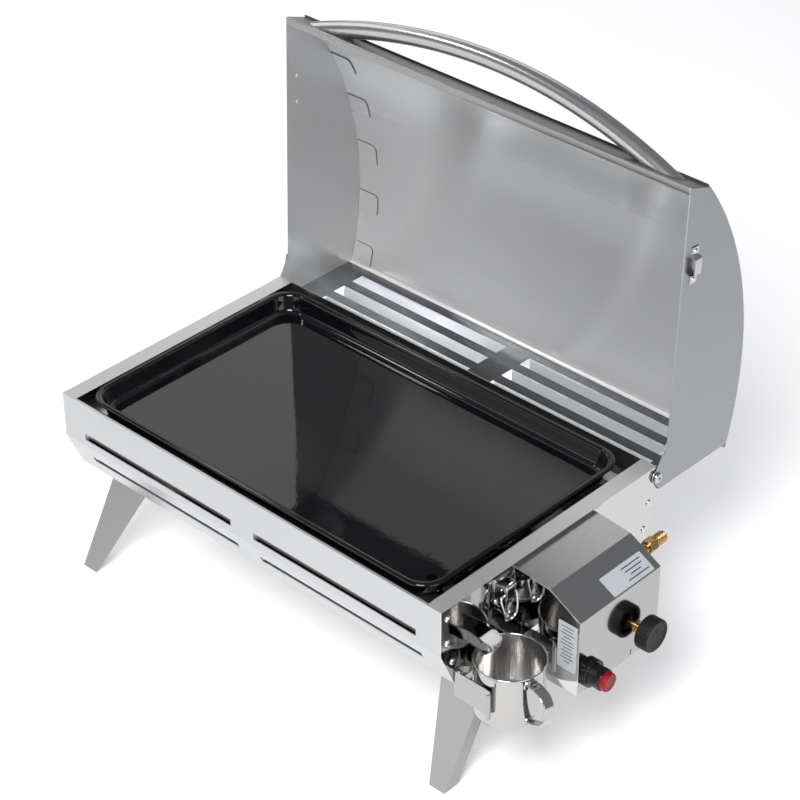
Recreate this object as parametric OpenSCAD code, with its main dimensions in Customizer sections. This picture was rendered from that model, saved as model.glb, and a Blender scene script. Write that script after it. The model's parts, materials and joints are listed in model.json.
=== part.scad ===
// Folding camp grill: a stainless gas hotplate with a hinged lid, folding legs and a grease mug.
// The working frame has X along the grill, Y = 0 at the front sheet and Z = 0 at the top rim.
// placed() then moves everything so that the origin is under the middle of the bounding box.

/* [Body] */
// Length of the body along X
body_w = 555; // [500:5:620]
// Depth of the body from the front sheet to the rear sheet
body_d = 332; // [300:2:360]
// Depth of the body from the rim to its floor
body_h = 100; // [95:1:110]
// Height of the upright part of the front and rear sheets
body_upright_h = 55; // [50:1:60]
// Inward slope of the lower front and rear sheets
body_slope = 20; // [15:1:25]
// Thickness of the body and lid sheet
sheet_t = 1.2; // [1:0.1:1.5]
// Width of the inward flange at each end of the rim
flange_w = 19.6; // [15:0.2:22]

/* [Air slots] */
// Length of each air slot
slot_l = 227; // [150:1:230]
// Height of each air slot
slot_h = 9; // [5:0.5:10]
// Depth of the upper slots under the rim
slot_drop = 38; // [30:1:42]
// Gap between the two slots of a row
slot_gap = 34; // [20:1:60]
// Distance of the lower slots from the bend, down the slope
low_slot_drop = 20; // [8:1:26]

/* [Hotplate] */
// Length of the hotplate over its rim
plate_w = 500; // [460:2:506]
// Depth of the hotplate over its rim
plate_d = 308; // [280:2:312]
// Distance from the front sheet to the hotplate rim
plate_front = 8; // [6:0.5:12]
// Height of the hotplate rim over the body rim
plate_rise = 6; // [3:0.5:8]
// Outside depth of the hotplate
plate_h = 23; // [20:1:30]
// Outside radius of the hotplate corners
plate_corner = 28; // [22:1:35]
// Width of the rolled rim
plate_rim = 6; // [5:0.5:8]
// Thickness of the enamelled plate
plate_t = 2; // [1.6:0.1:2.5]
// Diameter of the drain hole
drain_d = 12; // [8:1:14]

/* [Lid] */
// Angle that the lid stands open
lid_open = 91.5; // [85:0.5:95]
// Distance of the hinge from the front sheet
hinge_y = 331; // [325:1:332]
// Drop of the hinge under the rim
hinge_drop = 13; // [12:0.5:15]
// Radius of the lid's crown
crown_r = 380; // [360:5:420]
// Height of the flat front strip
strip_h = 33; // [28:1:36]
// Lean of the front strip
strip_lean = 11; // [8:1:14]
// Height of the lid's rear top corner over the rim
rear_top = 109; // [100:1:115]
// Distance of the lid's rear wall from the front sheet
rear_y = 349; // [346:1:352]
// Length of each rear louvre
louvre_l = 227; // [150:1:230]
// Height of each rear louvre
louvre_h = 18; // [12:1:20]
// Spacing of the rear louvres
louvre_pitch = 31; // [28:1:32]
// Outward reach of the rear louvres
louvre_out = 7; // [4:0.5:8]

/* [Handle] */
// Diameter of the handle tube
handle_d = 20; // [16:1:22]
// Distance between the points where the handle's centre line crosses the strip
handle_span = 461; // [440:1:480]
// Rise of the handle's middle over the strip
handle_rise = 38; // [30:1:45]

/* [Legs] */
// Height of the body rim over the ground
stand_h = 240; // [230:5:250]
// Forward splay of a leg
leg_splay = 29; // [25:1:30]
// Width of a leg at its foot
leg_foot_w = 21; // [18:1:26]
// Width of a leg at its pivot
leg_top_w = 64; // [50:1:66]
// Depth of the front legs' side strip
leg_strip = 18; // [16:1:18]
// Thickness of the leg sheet
leg_t = 1.5; // [1.2:0.1:1.8]
// Diameter of the leg pins
pin_d = 5; // [4:0.5:5]

/* [Control box] */
// Distance of the box from the front sheet
box_y = 108; // [104:1:112]
// Width of the control box along Y
box_d = 126; // [110:2:130]
// Reach of the box from the end panel
box_reach = 85; // [80:1:90]
// Depth of the box's lower edge under the rim
box_drop = 123; // [115:1:128]
// Diameter of the gas knob
knob_d = 37; // [30:1:40]
// Length of the gas knob
knob_l = 15; // [12:1:18]
// Thread diameter of the gas inlet
inlet_d = 13.16; // [13.16:0.01:13.16]

/* [Mug] */
// Outside diameter of the mug
mug_d = 75; // [70:1:76]
// Height of the mug
mug_h = 65; // [55:1:70]
// Drop of the mug's rim under the body rim
mug_drop = 67; // [66:1:72]
// Distance of the mug's middle from the front sheet
mug_y = 58; // [56:1:60]

/* [Hidden] */
$fn = 48;
tiny = 0.01;
half_w = body_w / 2;
inner_w = half_w - sheet_t;
run_gap = 0.05;

// Lid outline in the closed position, as distances from the front sheet and over the rim
strip_foot = [-5, 1];
strip_top = strip_foot + [strip_lean, strip_h];
rear_corner = [rear_y - 2, rear_top];
rear_foot = [rear_y, -7];
hinge = [hinge_y, -hinge_drop];
lid_half = half_w + 0.8;
lid_edge_y = 296;

// Centre of the circle through two points, on the lower side
function circle_centre(a, b, r) =
    let (m = (a + b) / 2, h = norm(b - a) / 2, u = (b - a) / norm(b - a))
    m + sqrt(r * r - h * h) * [u[1], -u[0]];
crown_c = circle_centre(strip_top, rear_corner, crown_r);

// A point of the closed lid, seen after the lid is opened
function opened_point(p) =
    let (d = p - hinge)
    hinge + [d[0] * cos(lid_open) + d[1] * sin(lid_open), -d[0] * sin(lid_open) + d[1] * cos(lid_open)];

// Control box, knob and latches
box_x = half_w + box_reach;
box_shoulder = [half_w + 45, -9];
box_edge_z = -30;
knob_y = 201;
knob_z = -88;
knob_gap = 10;
igniter_y = 127;
igniter_z = -102;
electrode_z = -72;
chute_y = 50.5;
inlet_x = half_w + 44.5;
inlet_z = -44.5;
latch_y = 88;
latch_z = -14;
bail_d = 2.6;
bail_out = 5;
bail_x = 9;
latch_reach = bail_x + bail_out + 0.56 * bail_d;
pipe_d = 6;
burner_z = -82;
burner_y = [106, 226];
burner_d = 25;
burner_x = 203;

// Legs: pivot height, and the distance of the outer strip from the middle
pivot_z = -113;
face_off = 9;
rear_face_off = 6.5;
leg_run = (stand_h + pivot_z + face_off * sin(leg_splay)) / cos(leg_splay);
pivot_y = 8 + leg_run * sin(leg_splay) + face_off * cos(leg_splay);
front_leg_x = half_w - 0.5;
rear_leg_x = front_leg_x - 26;
leg_ear = 1;

// Middle of the bounding box
x_low = -half_w - latch_reach;
button_reach = 26;
x_high = box_x + button_reach;
y_high = opened_point(crown_c)[0] + crown_r;
mid_x = (x_low + x_high) / 2;
mid_y = y_high / 2;

// Bent sheet: a path of bend points is thickened to its left
function unit(v) = v / norm(v);
function left_of(v) = [-v[1], v[0]];
function side_point(p, i, t) =
    i == 0 ? p[0] + t * left_of(unit(p[1] - p[0])) :
    i == len(p) - 1 ? p[i] + t * left_of(unit(p[i] - p[i - 1])) :
    let (a = unit(p[i] - p[i - 1]), b = unit(p[i + 1] - p[i]))
    p[i] + t * (left_of(a) + left_of(b)) / (1 + a * b);
function sheet_outline(p, t) =
    concat(p, [for (i = [len(p) - 1:-1:0]) side_point(p, i, t)]);

module placed() translate([-mid_x, -mid_y, stand_h]) children();
module across(length) rotate([90, 0, 90]) linear_extrude(length, center = true) children();
module deep(length) rotate([90, 0, 0]) linear_extrude(length, center = true) children();
module bent_across(path, t, length) across(length) polygon(sheet_outline(path, t));
module bent_deep(path, t, length) deep(length) polygon(sheet_outline(path, t));
module rod_x(d, length) rotate([0, 90, 0]) cylinder(d = d, h = length, center = true);
module rod_y(d, length) rotate([90, 0, 0]) cylinder(d = d, h = length, center = true);
module ring_x(d, bore, length) difference() { rod_x(d, length); rod_x(bore, length + 2); }
module opened() translate([0, hinge[0], hinge[1]]) rotate([-lid_open, 0, 0])
    translate([0, -hinge[0], -hinge[1]]) children();
module rounded(size, r) union() {
    square([size[0] - 2 * r, size[1]], center = true);
    square([size[0], size[1] - 2 * r], center = true);
    for (x = [-1, 1], y = [-1, 1]) translate([x * (size[0] / 2 - r), y * (size[1] / 2 - r)]) circle(r);
}
// A straight length of round wire or pipe between two points
module wire(a, b, d) {
    v = b - a;
    l = norm(v);
    translate(a) rotate([0, acos(v[2] / l), atan2(v[1], v[0])]) cylinder(d = d, h = l, $fn = 24);
}
// Wire along a path, with a slightly larger ball at each bend
module wire_path(points, d) {
    for (i = [0:len(points) - 2]) wire(points[i], points[i + 1], d);
    for (i = [1:len(points) - 2]) translate(points[i]) sphere(d = 1.12 * d, $fn = 24);
}
// A domed rivet whose axis is X, its head facing side (+1 or -1)
module rivet_x(side, d, grip) translate([side * grip / 2, 0, 0]) {
    translate([-side * grip / 2, 0, 0]) rod_x(d, grip);
    rotate([0, side * 90, 0]) {
        cylinder(d = 2.1 * d, h = 0.2 * d);
        translate([0, 0, 0.2 * d]) cylinder(d1 = 2.1 * d, d2 = 1.2 * d, h = 0.35 * d);
    }
}

// ---- Body ----
wrap_path = [[0, 0], [0, -body_upright_h], [body_slope, -body_h], [body_d - body_slope, -body_h],
    [body_d, -body_upright_h], [body_d, 0]];
slope_len = norm(wrap_path[2] - wrap_path[1]);
slope_angle = atan2(body_slope, body_h - body_upright_h);

module slot_pair() for (s = [-1, 1]) translate([s * (slot_l + slot_gap) / 2, 0, 0]) children();
module slot_cut() translate([0, 0, -slot_h / 2]) cube([slot_l, 6 * sheet_t, slot_h], center = true);
// The blade that is pressed inward from a slot's upper edge
module slot_blade() bent_across([[sheet_t / 2, 1], [sheet_t + 4, -slot_h * 0.7]], sheet_t / 2,
    slot_l);
module on_slope(drop) translate([0, 0, -body_upright_h]) rotate([slope_angle, 0, 0])
    translate([0, 0, -drop]) children();
module floor_vents() for (x = [-5:5], y = [0:2])
    translate([x * 40, 96 + y * 70, -body_h]) cylinder(d = 16, h = 6, center = true);

module body_wrapper() color("silver") {
    difference() {
        union() {
            bent_across(wrap_path, sheet_t, 2 * inner_w);
            bent_across([[0, -4], [0, 0], [3, 0], [3, -4]], -sheet_t, 2 * (half_w - flange_w) - 1);
        }
        slot_pair() translate([0, 0, -slot_drop]) slot_cut();
        on_slope(low_slot_drop) slot_pair() slot_cut();
        floor_vents();
    }
    slot_pair() translate([0, 0, -slot_drop]) slot_blade();
    on_slope(low_slot_drop) slot_pair() slot_blade();
}

module end_outline() polygon([[0, 0], wrap_path[1], wrap_path[2], wrap_path[3], wrap_path[4],
    [body_d, 0]]);
module end_panel(side) color("silver") difference() {
    union() {
        translate([side * (half_w - sheet_t / 2), 0, 0]) across(sheet_t) {
            end_outline();
            translate(hinge) circle(8);
        }
        translate([side * (half_w - flange_w / 2), body_d / 2, -sheet_t / 2])
            cube([flange_w, body_d - 2 * sheet_t, sheet_t], center = true);
        translate([side * (half_w - flange_w + sheet_t / 2), body_d / 2, -4])
            cube([sheet_t, body_d - 2 * sheet_t - 2, 8], center = true);
    }
    translate([side * half_w, hinge[0], hinge[1]]) rod_x(6, 8);
    body_rivet_places(side) rod_x(body_rivet_d, 8);
    latch_rivet_places(side) rod_x(small_rivet_d, 8);
}
module end_panel_left() end_panel(-1);
module end_panel_right() difference() {
    end_panel(1);
    translate([half_w, knob_y, knob_z]) rod_x(venturi_d + 5.4, 8);
    translate([half_w, chute_y, -52.5]) cube([8, 22.6, 15], center = true);
    translate([half_w, igniter_y, electrode_z]) rod_x(6, 8);
    holder_rivet_places() rod_x(small_rivet_d, 8);
}

rail_z = plate_rise - plate_h - 0.3;
module plate_support(y, turn) color("silver") translate([0, y, rail_z]) mirror([0, turn, 0])
    bent_across([[0, -22], [0, 0], [16, 0]], -sheet_t, 2 * inner_w);
module plate_support_front() plate_support(20, 0);
module plate_support_rear() plate_support(body_d - 20, 1);

// Rivets through the end panels: front edge, then rear edge, as distance from the front and drop
body_rivet_d = 3.5;
small_rivet_d = 3;
body_rivet_spots = [[9, -12], [9, -42], [17, -70], [body_d - 10, -42], [body_d - 16, -73]];
module body_rivet_places(side) for (p = body_rivet_spots)
    translate([side * (half_w - sheet_t / 2), p[0], p[1]]) children();
module latch_rivet_places(side) for (y = [-9.5, 9.5])
    translate([side * half_w, latch_y + y, latch_z - 16]) children();
module holder_rivet_places() for (s = [-1, 1], z = [-8, 8])
    translate([half_w, mug_y + s * (arm_y - 8), holder_z + z]) children();
module body_rivets() color("lightgray") for (s = [-1, 1]) body_rivet_places(s)
    rivet_x(s, body_rivet_d, sheet_t);

// ---- Gas parts ----
module burner() color("dimgray") difference() {
    union() {
        for (y = burner_y) translate([0, y, burner_z]) {
            rod_x(burner_d, 2 * burner_x);
            for (s = [-1, 1]) translate([s * burner_x, 0, 0]) sphere(d = burner_d);
        }
        translate([burner_x, (burner_y[0] + burner_y[1]) / 2, burner_z])
            rod_y(burner_d - 1, burner_y[1] - burner_y[0]);
        translate([burner_x + 7, knob_y, knob_z]) rod_x(21, 20);
    }
    for (y = burner_y) translate([0, y, burner_z]) rod_x(burner_d - 3, 2 * burner_x - 4);
    translate([burner_x, (burner_y[0] + burner_y[1]) / 2, burner_z])
        rod_y(burner_d - 4, burner_y[1] - burner_y[0]);
    for (y = burner_y, s = [-1, 1], i = [-9:9]) translate([i * 20, y, burner_z])
        rotate([s * 50, 0, 0]) cylinder(d = 3, h = burner_d);
    translate([venturi_x + 10, knob_y, knob_z]) rod_x(venturi_d, 20);
    translate([venturi_x, knob_y, knob_z]) rod_x(venturi_d - 3, 16);
}
venturi_x = burner_x + 5;
venturi_d = 18;
venturi_l = 84;
bracket_top = burner_z - burner_d / 2 + 0.4;
module burner_bracket() color("silver") translate([-150, 0, 0]) difference() {
    bent_across([[burner_y[0] - 12, -body_h + sheet_t], [burner_y[0] - 12, bracket_top],
        [burner_y[1] + 12, bracket_top], [burner_y[1] + 12, -body_h + sheet_t]], -sheet_t, 14);
    for (y = burner_y) translate([0, y, burner_z]) rod_x(burner_d, 30);
}
module venturi_tube() color("silver") translate([venturi_x + venturi_l / 2, knob_y, knob_z])
    difference() {
        union() {
            rod_x(venturi_d, venturi_l);
            translate([venturi_l / 2 - 6, 0, 0]) rod_x(venturi_d + 5, 12);
        }
        rod_x(venturi_d - 3, venturi_l + 2);
        for (a = [0, 90, 180, 270]) translate([venturi_l / 2 - 6, 0, 0]) rotate([a, 0, 0])
            cylinder(d = 7, h = 20);
    }
jet_x = venturi_x + venturi_l + 3;
module gas_jet() color("goldenrod") translate([jet_x, knob_y, knob_z]) difference() {
    union() {
        rotate([0, 90, 0]) cylinder(d = 9, h = 6, center = true, $fn = 6);
        translate([-5, 0, 0]) rod_x(6, 6);
    }
    translate([-3, 0, 0]) rod_x(1, 14);
}
valve_x = jet_x + 22;
plug_x = valve_x + 22;
plug_d = 12;
plug_l = 12;
stem_d = 8;
neck_d = 14;
module gas_valve() color("goldenrod") difference() {
    union() {
        translate([valve_x, knob_y, knob_z]) rod_x(20, 38);
        translate([plug_x, knob_y, knob_z]) cube([18, 30, 18], center = true);
        translate([box_x - 7, knob_y, knob_z]) rod_x(neck_d, 16);
        translate([valve_x, knob_y + 10, knob_z]) rod_y(12, 20);
    }
    translate([box_x, knob_y, knob_z]) rod_x(stem_d + 2 * run_gap, 70);
    translate([plug_x, knob_y, knob_z]) rod_x(plug_d + 2 * run_gap, plug_l + 0.6);
}
// The tapped plug that the stem slides through and turns
module valve_plug() color("goldenrod") translate([plug_x, knob_y, knob_z])
    ring_x(plug_d, stem_d + 2 * run_gap, plug_l);
module gas_pipe() color("goldenrod") wire_path([[valve_x, knob_y + 20, knob_z],
    [valve_x, knob_y + 25, knob_z], [inlet_x, knob_y + 25, inlet_z],
    [inlet_x, box_y + box_d - 3, inlet_z]], pipe_d);
module gas_inlet() color("goldenrod") translate([inlet_x, 0, inlet_z]) difference() {
    union() {
        translate([0, box_y + box_d + 14, 0]) rod_y(11, 34);
        translate([0, box_y + box_d + 4, 0]) rotate([90, 0, 0]) cylinder(d = 19, h = 4, $fn = 6);
        translate([0, 268, 0]) rotate([90, 30, 0]) cylinder(d = 17.3, h = 11, center = true, $fn = 6);
        translate([0, 282, 0]) rod_y(inlet_d, 18);
        translate([0, 276, 0]) rod_y(11, 8);
    }
    translate([0, 270, 0]) rod_y(6, 90);
}

// ---- Control box ----
box_path = [[half_w, -5], box_shoulder, [box_x, box_edge_z], [box_x, -box_drop], [half_w, -box_drop]];
module control_box() color("silver") difference() {
    translate([0, box_y + box_d / 2, 0]) union() {
        bent_deep(box_path, -sheet_t, box_d);
        for (s = [-1, 1]) translate([0, s * (box_d - sheet_t) / 2, 0]) deep(sheet_t) polygon(box_path);
    }
    translate([box_x, knob_y, knob_z]) rod_x(neck_d, 10);
    translate([box_x, igniter_y, igniter_z]) rod_x(16, 10);
    translate([inlet_x, box_y + box_d, inlet_z]) rod_y(11, 10);
    for (i = [-3:3]) translate([half_w + 42, box_y + box_d / 2 + i * 14, -box_drop])
        cube([44, 5, 8], center = true);
}
// Blank information plates with printed bars
slope_a = atan2(box_edge_z - box_shoulder[1], box_x - box_shoulder[0]);
module warning_label() color("white") translate([(box_shoulder[0] + box_x) / 2 + 8,
    box_y + 86, (box_shoulder[1] + box_edge_z) / 2 - 4.18]) rotate([0, -slope_a, 0])
    translate([0, 0, 0.15]) cube([24, 63, 0.3], center = true);
module rating_label() color("white") translate([box_x - 15, box_y - 0.15, -67])
    cube([24, 0.3, 58], center = true);

button_d = 21;
module igniter_housing() color("black") translate([box_x, igniter_y, igniter_z]) difference() {
    union() {
        translate([-18, 0, 0]) rod_x(15.8, 36);
        translate([10, 0, 0]) rod_x(24, 20);
    }
    translate([13, 0, 0]) rod_x(button_d + 0.6, 20);
    rod_x(stem_d + 2 * run_gap, 28);
}
module igniter_nut() color("black") translate([box_x + 2, igniter_y, igniter_z])
    ring_x(31, 24, 4);
module igniter_electrode() color("white") translate([half_w, igniter_y, electrode_z]) {
    translate([-20, 0, 0]) rod_x(6, 50);
    translate([-49, 0, 0]) rod_x(2, 10);
    translate([-53, -3, -0.5]) rod_y(2.2, 10);
}
module igniter_lead() color("black") wire_path([[half_w + 5, igniter_y, electrode_z],
    [half_w + 16, igniter_y, electrode_z + 2], [half_w + 26, igniter_y + 8, -82],
    [box_x - 44, igniter_y, igniter_z], [box_x - 36, igniter_y, igniter_z]], 3);

// ---- Grease mug ----
mug_x = half_w + mug_d / 2 + 1.5;
arm_l = 50;
arm_h = 32;
arm_y = mug_d / 2 + 0.6 + sheet_t;
holder_z = -mug_drop - 31;
module mug_holder() color("silver") difference() {
    translate([half_w, mug_y, holder_z]) {
        for (s = [-1, 1]) mirror([0, s < 0 ? 1 : 0, 0]) linear_extrude(arm_h, center = true)
            polygon(sheet_outline([[0, arm_y - 14], [0, arm_y], [arm_l - 4, arm_y],
                [arm_l, arm_y + 3], [arm_l - 1, arm_y + 6]], -sheet_t));
        translate([sheet_t / 2, 0, -arm_h / 2 + 3])
            cube([sheet_t, 2 * arm_y - 26, 6], center = true);
    }
    holder_rivet_places() rod_x(small_rivet_d, 8);
}
module holder_rivets() color("lightgray") holder_rivet_places()
    translate([sheet_t / 2, 0, 0]) rivet_x(1, small_rivet_d, sheet_t);
// A U channel that leads the grease from the drain hole, through the end panel, to the mug
module grease_chute() color("silver") translate([half_w - 24, chute_y, -48.2]) rotate([0, 9, 0])
    difference() {
        cube([100, 22, 13], center = true);
        translate([0, 0, sheet_t]) cube([110, 22 - 2 * sheet_t, 13], center = true);
    }

module mug() color("silver") translate([mug_x, mug_y, -mug_drop - mug_h]) rotate_extrude($fn = 96)
    polygon([[0, 0], [mug_d / 2 - 4, 0], [mug_d / 2 - 1, 1.2], [mug_d / 2, 4],
        [mug_d / 2, mug_h - 1], [mug_d / 2 - 0.6, mug_h], [mug_d / 2 - 1.2, mug_h - 1],
        [mug_d / 2 - 1.2, 4], [mug_d / 2 - 4, 1.2], [0, 1.2]]);
handle_turn = -15;
handle_w = 11;
module mug_handle() color("silver") translate([mug_x, mug_y, -mug_drop]) rotate([0, 0, handle_turn])
    difference() {
        translate([mug_d / 2 - 1, 0, 0]) bent_deep([[0, -8], [9, -6], [20, -7.5], [27, -13],
            [30, -23], [26, -35], [16, -46], [0, -53]], 1.8, handle_w);
        translate([0, 0, -mug_h]) cylinder(d = mug_d, h = mug_h + 10, $fn = 96);
    }

// ---- Latches ----
latch_pin_d = 2.5;
module latch_base(side) color("silver") translate([side * half_w, latch_y, latch_z]) {
    difference() {
        translate([side * 0.75, 0, -5]) cube([1.5, 24, 30], center = true);
        for (y = [-9.5, 9.5]) translate([side * 0.75, y, -16]) rod_x(small_rivet_d, 8);
    }
    for (s = [-1, 1]) difference() {
        union() {
            translate([side * 3.5, s * 8, 0]) cube([7, 1.4, 10], center = true);
            translate([side * 7, s * 8, 0]) rod_y(10, 1.4);
        }
        translate([side * 7, s * 8, 0]) rod_y(latch_pin_d + 2 * run_gap, 4);
    }
}
module latch_base_left() latch_base(-1);
module latch_base_right() latch_base(1);
module latch_rivets() color("lightgray") for (s = [-1, 1]) latch_rivet_places(s)
    translate([s * 0.75, 0, 0]) rivet_x(s, small_rivet_d, 1.5);

// The lever carries its own pin and hangs down over the base
module latch_lever(side) color("silver") translate([side * (half_w + 7), latch_y, latch_z]) {
    rod_y(latch_pin_d, 19);
    for (s = [-1, 1]) difference() {
        union() {
            translate([0, s * 6, 0]) rod_y(9, 1.4);
            translate([side * 2, s * 6, -6]) cube([5, 1.4, 12], center = true);
        }
        translate([side * (bail_x - 7), s * 6, -8]) rod_y(bail_d + 2 * run_gap, 4);
    }
    bent_deep(side > 0 ? [[4.5, 0], [4.5, -12], [2.5, -26], [4, -38]] :
        [[-4, -38], [-2.5, -26], [-4.5, -12], [-4.5, 0]], 1.4, 12);
}
module latch_lever_left() latch_lever(-1);
module latch_lever_right() latch_lever(1);

module latch_bail(side) color("silver") translate([side * (half_w + bail_x), latch_y, latch_z - 8]) {
    wire_path([[0, -4.6, 0], [0, -11.5, 0], [side * 4, -9.8, -18], [side * bail_out, -4, -28],
        [side * bail_out, 4, -28], [side * 4, 9.8, -18], [0, 11.5, 0], [0, 4.6, 0]], bail_d);
}
module latch_bail_left() latch_bail(-1);
module latch_bail_right() latch_bail(1);

// ---- Lid, modelled closed and then opened about its hinge ----
module crown_disc(r) translate(crown_c) circle(r, $fn = 360);
module crown_sector() polygon([crown_c, crown_c + 2 * (strip_top - crown_c),
    [body_d / 2, 2 * crown_r], crown_c + 2 * (rear_corner - crown_c)]);
module lid_profile() {
    intersection() {
        difference() { crown_disc(crown_r); crown_disc(crown_r - sheet_t); }
        crown_sector();
    }
    polygon(sheet_outline([strip_top, strip_foot, strip_foot + [9, 0]], sheet_t));
    polygon(sheet_outline([rear_foot, rear_corner], sheet_t));
}
module louvre_places() for (s = [-1, 1], i = [-1:1])
    translate([s * (louvre_l / 2 + 17), rear_y, rear_top / 2 - 4 + i * louvre_pitch]) children();
// A louvre pressed outward, open along its lower side
module louvre(grow) across(louvre_l + 2 * grow)
    polygon([[-2, louvre_h / 2 + grow], [-sheet_t, louvre_h / 2 + grow],
        [louvre_out + grow, -louvre_h / 2], [-2, -louvre_h / 2]]);
strip_mid = (strip_foot + strip_top) / 2;
strip_tilt = atan2(strip_lean, strip_h);
arch_r = (pow(handle_span / 2, 2) + pow(handle_rise, 2)) / (2 * handle_rise);
arch_half = asin(handle_span / 2 / arch_r);
// Run of the tube's centre line past each crossing
arch_past = 45;
arch_extra = asin(arch_past / arch_r);
// Puts the handle's plane square to the front strip, rising out of it
module on_strip() translate([0, strip_mid[0], strip_mid[1]]) rotate([180 - strip_tilt, 0, 0])
    children();
module handle_arc(d) translate([0, handle_rise - arch_r, 0])
    rotate([0, 0, 90 - arch_half - arch_extra])
    rotate_extrude(angle = 2 * (arch_half + arch_extra), $fn = 360) translate([arch_r, 0])
    circle(d = d);

module lid_skin() color("silver") opened() difference() {
    union() {
        across(2 * lid_half) lid_profile();
        louvre_places() louvre(sheet_t);
    }
    louvre_places() translate([0, -tiny, 0]) louvre(0);
    louvre_places() translate([0, 6, -louvre_h / 2 - 2]) cube([louvre_l, 12, 4 - tiny], center = true);
    on_strip() handle_arc(handle_d);
}
module cap_outline() {
    intersection() {
        crown_disc(crown_r);
        polygon([strip_foot, strip_top, [strip_top[0], 200], [rear_corner[0], 200], rear_corner,
            rear_foot, hinge + [10, -7], hinge + [-7, -2], [308, -6], [lid_edge_y, 0]]);
    }
    translate(hinge) circle(7);
}
tab_angles = [for (i = [0:4]) 118 - i * 10.2];
tab_reach = 29;
module lid_cap(side) color("silver") opened() {
    difference() {
        translate([side * (lid_half + sheet_t / 2), 0, 0]) across(sheet_t) cap_outline();
        translate([side * lid_half, hinge[0], hinge[1]]) rod_x(6 + 2 * run_gap, 8);
        keeper_rivet_places(side) rod_x(small_rivet_d, 8);
    }
    for (a = tab_angles) translate([side * (lid_half - tab_reach / 2), 0, 0]) across(tab_reach)
        intersection() {
        difference() { crown_disc(crown_r - sheet_t); crown_disc(crown_r - sheet_t - 1); }
        translate(crown_c) rotate(a) polygon([[0, 0], [crown_r, -13], [crown_r, 13]]);
    }
}
module lid_cap_left() lid_cap(-1);
module lid_cap_right() lid_cap(1);

module lid_handle() color("silver") opened() on_strip() intersection() {
    difference() { handle_arc(handle_d); handle_arc(handle_d - 3); }
    translate([0, 45, 0]) cube([2 * body_w, 100, 60], center = true);
}

keeper_y = latch_y;
keeper_z = 17;
keeper_rivet_y = 16;
module keeper(side) color("silver") opened() translate([side * (lid_half + sheet_t), keeper_y, keeper_z])
    difference() {
        linear_extrude(11, center = true) polygon(sheet_outline(side > 0 ?
            [[0, -21], [0, -11], [5, -9], [5, 9], [0, 11], [0, 21]] :
            [[0, 21], [0, 11], [-5, 9], [-5, -9], [0, -11], [0, -21]], -1.2));
        for (s = [-1, 1]) translate([0, s * keeper_rivet_y, 0]) rod_x(small_rivet_d, 8);
    }
module keeper_left() keeper(-1);
module keeper_right() keeper(1);
module keeper_rivet_places(side) for (s = [-1, 1])
    translate([side * (lid_half + sheet_t), keeper_y + s * keeper_rivet_y, keeper_z]) children();
module keeper_rivets() color("lightgray") opened() for (side = [-1, 1]) keeper_rivet_places(side)
    rivet_x(side, small_rivet_d, 2 * sheet_t);

module hinge_screws() color("lightgray") for (s = [-1, 1])
    translate([s * lid_half, hinge[0], hinge[1]]) {
        rod_x(6, 4);
        translate([s * (sheet_t + 1.7), 0, 0]) rod_x(12, 2.4);
        translate([s * (sheet_t + 3.2), 0, 0]) rod_x(9, 1);
    }
module hinge_washers() color("gray") for (s = [-1, 1])
    translate([s * (half_w + 0.25), hinge[0], hinge[1]]) ring_x(14, 6, 0.5);

// ---- Hotplate ----
module plate_section(inset, r) linear_extrude(plate_h, center = false)
    rounded([plate_w - 2 * inset, plate_d - 2 * inset], r);
module hotplate() color([0.05, 0.05, 0.06]) translate([0, plate_front + plate_d / 2, plate_rise - plate_h])
    difference() {
        union() {
            plate_section(plate_rim, plate_corner - plate_rim);
            translate([0, 0, plate_h - 4]) linear_extrude(4)
                rounded([plate_w, plate_d], plate_corner);
        }
        translate([0, 0, plate_t]) linear_extrude(plate_h)
            rounded([plate_w - 2 * (plate_rim + plate_t), plate_d - 2 * (plate_rim + plate_t)],
                plate_corner - plate_rim - plate_t);
        translate([plate_w / 2 - 30, -plate_d / 2 + 42, 0]) cylinder(d = drain_d, h = 20, center = true);
    }

// ---- Legs ----
// One leg is drawn at its pivot, hanging down, its face to the front and its strip at x = 0
module leg_shape(front_off, face_top) {
    strip_back = leg_strip - face_off;
    foot_a = (stand_h + pivot_z + front_off * sin(leg_splay)) / cos(leg_splay);
    back_a = (stand_h + pivot_z - strip_back * sin(leg_splay)) / cos(leg_splay);
    taper = (leg_top_w - leg_foot_w) / foot_a;
    difference() {
        union() {
            translate([-leg_t / 2, 0, 0]) across(leg_t) {
                circle(front_off);
                polygon([[-front_off, 0], [front_off, 0], [strip_back, -11],
                    [strip_back, -back_a], [-front_off, -foot_a]]);
            }
            translate([0, -front_off, 0]) rotate([90, 0, 0]) translate([0, 0, -leg_t])
                linear_extrude(leg_t) polygon([[0, face_top], [-leg_top_w, face_top], [-leg_top_w, -4],
                    [-leg_foot_w, -foot_a], [0, -foot_a]]);
            translate([-leg_top_w + leg_t / 2, 0, 0]) across(leg_t) {
                circle(front_off);
                translate([-front_off, -4]) square([front_off, 8]);
            }
        }
        translate([-leg_top_w / 2, 0, 0]) rod_x(pin_d + 2 * run_gap, leg_top_w + 10);
    }
}
// Moves a front right leg part to one of the four corners
module at_corner(side, rear) mirror([side < 0 ? 1 : 0, 0, 0])
    translate([rear ? rear_leg_x : front_leg_x, rear ? body_d - pivot_y : pivot_y, pivot_z])
    mirror([0, rear ? 1 : 0, 0]) children();
module leg(side, rear) color("lightgray") at_corner(side, rear) rotate([-leg_splay, 0, 0])
    leg_shape(rear ? rear_face_off : face_off, rear ? 0 : 5);
module leg_front_left() leg(-1, false);
module leg_front_right() leg(1, false);
module leg_rear_left() leg(-1, true);
module leg_rear_right() leg(1, true);

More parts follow.
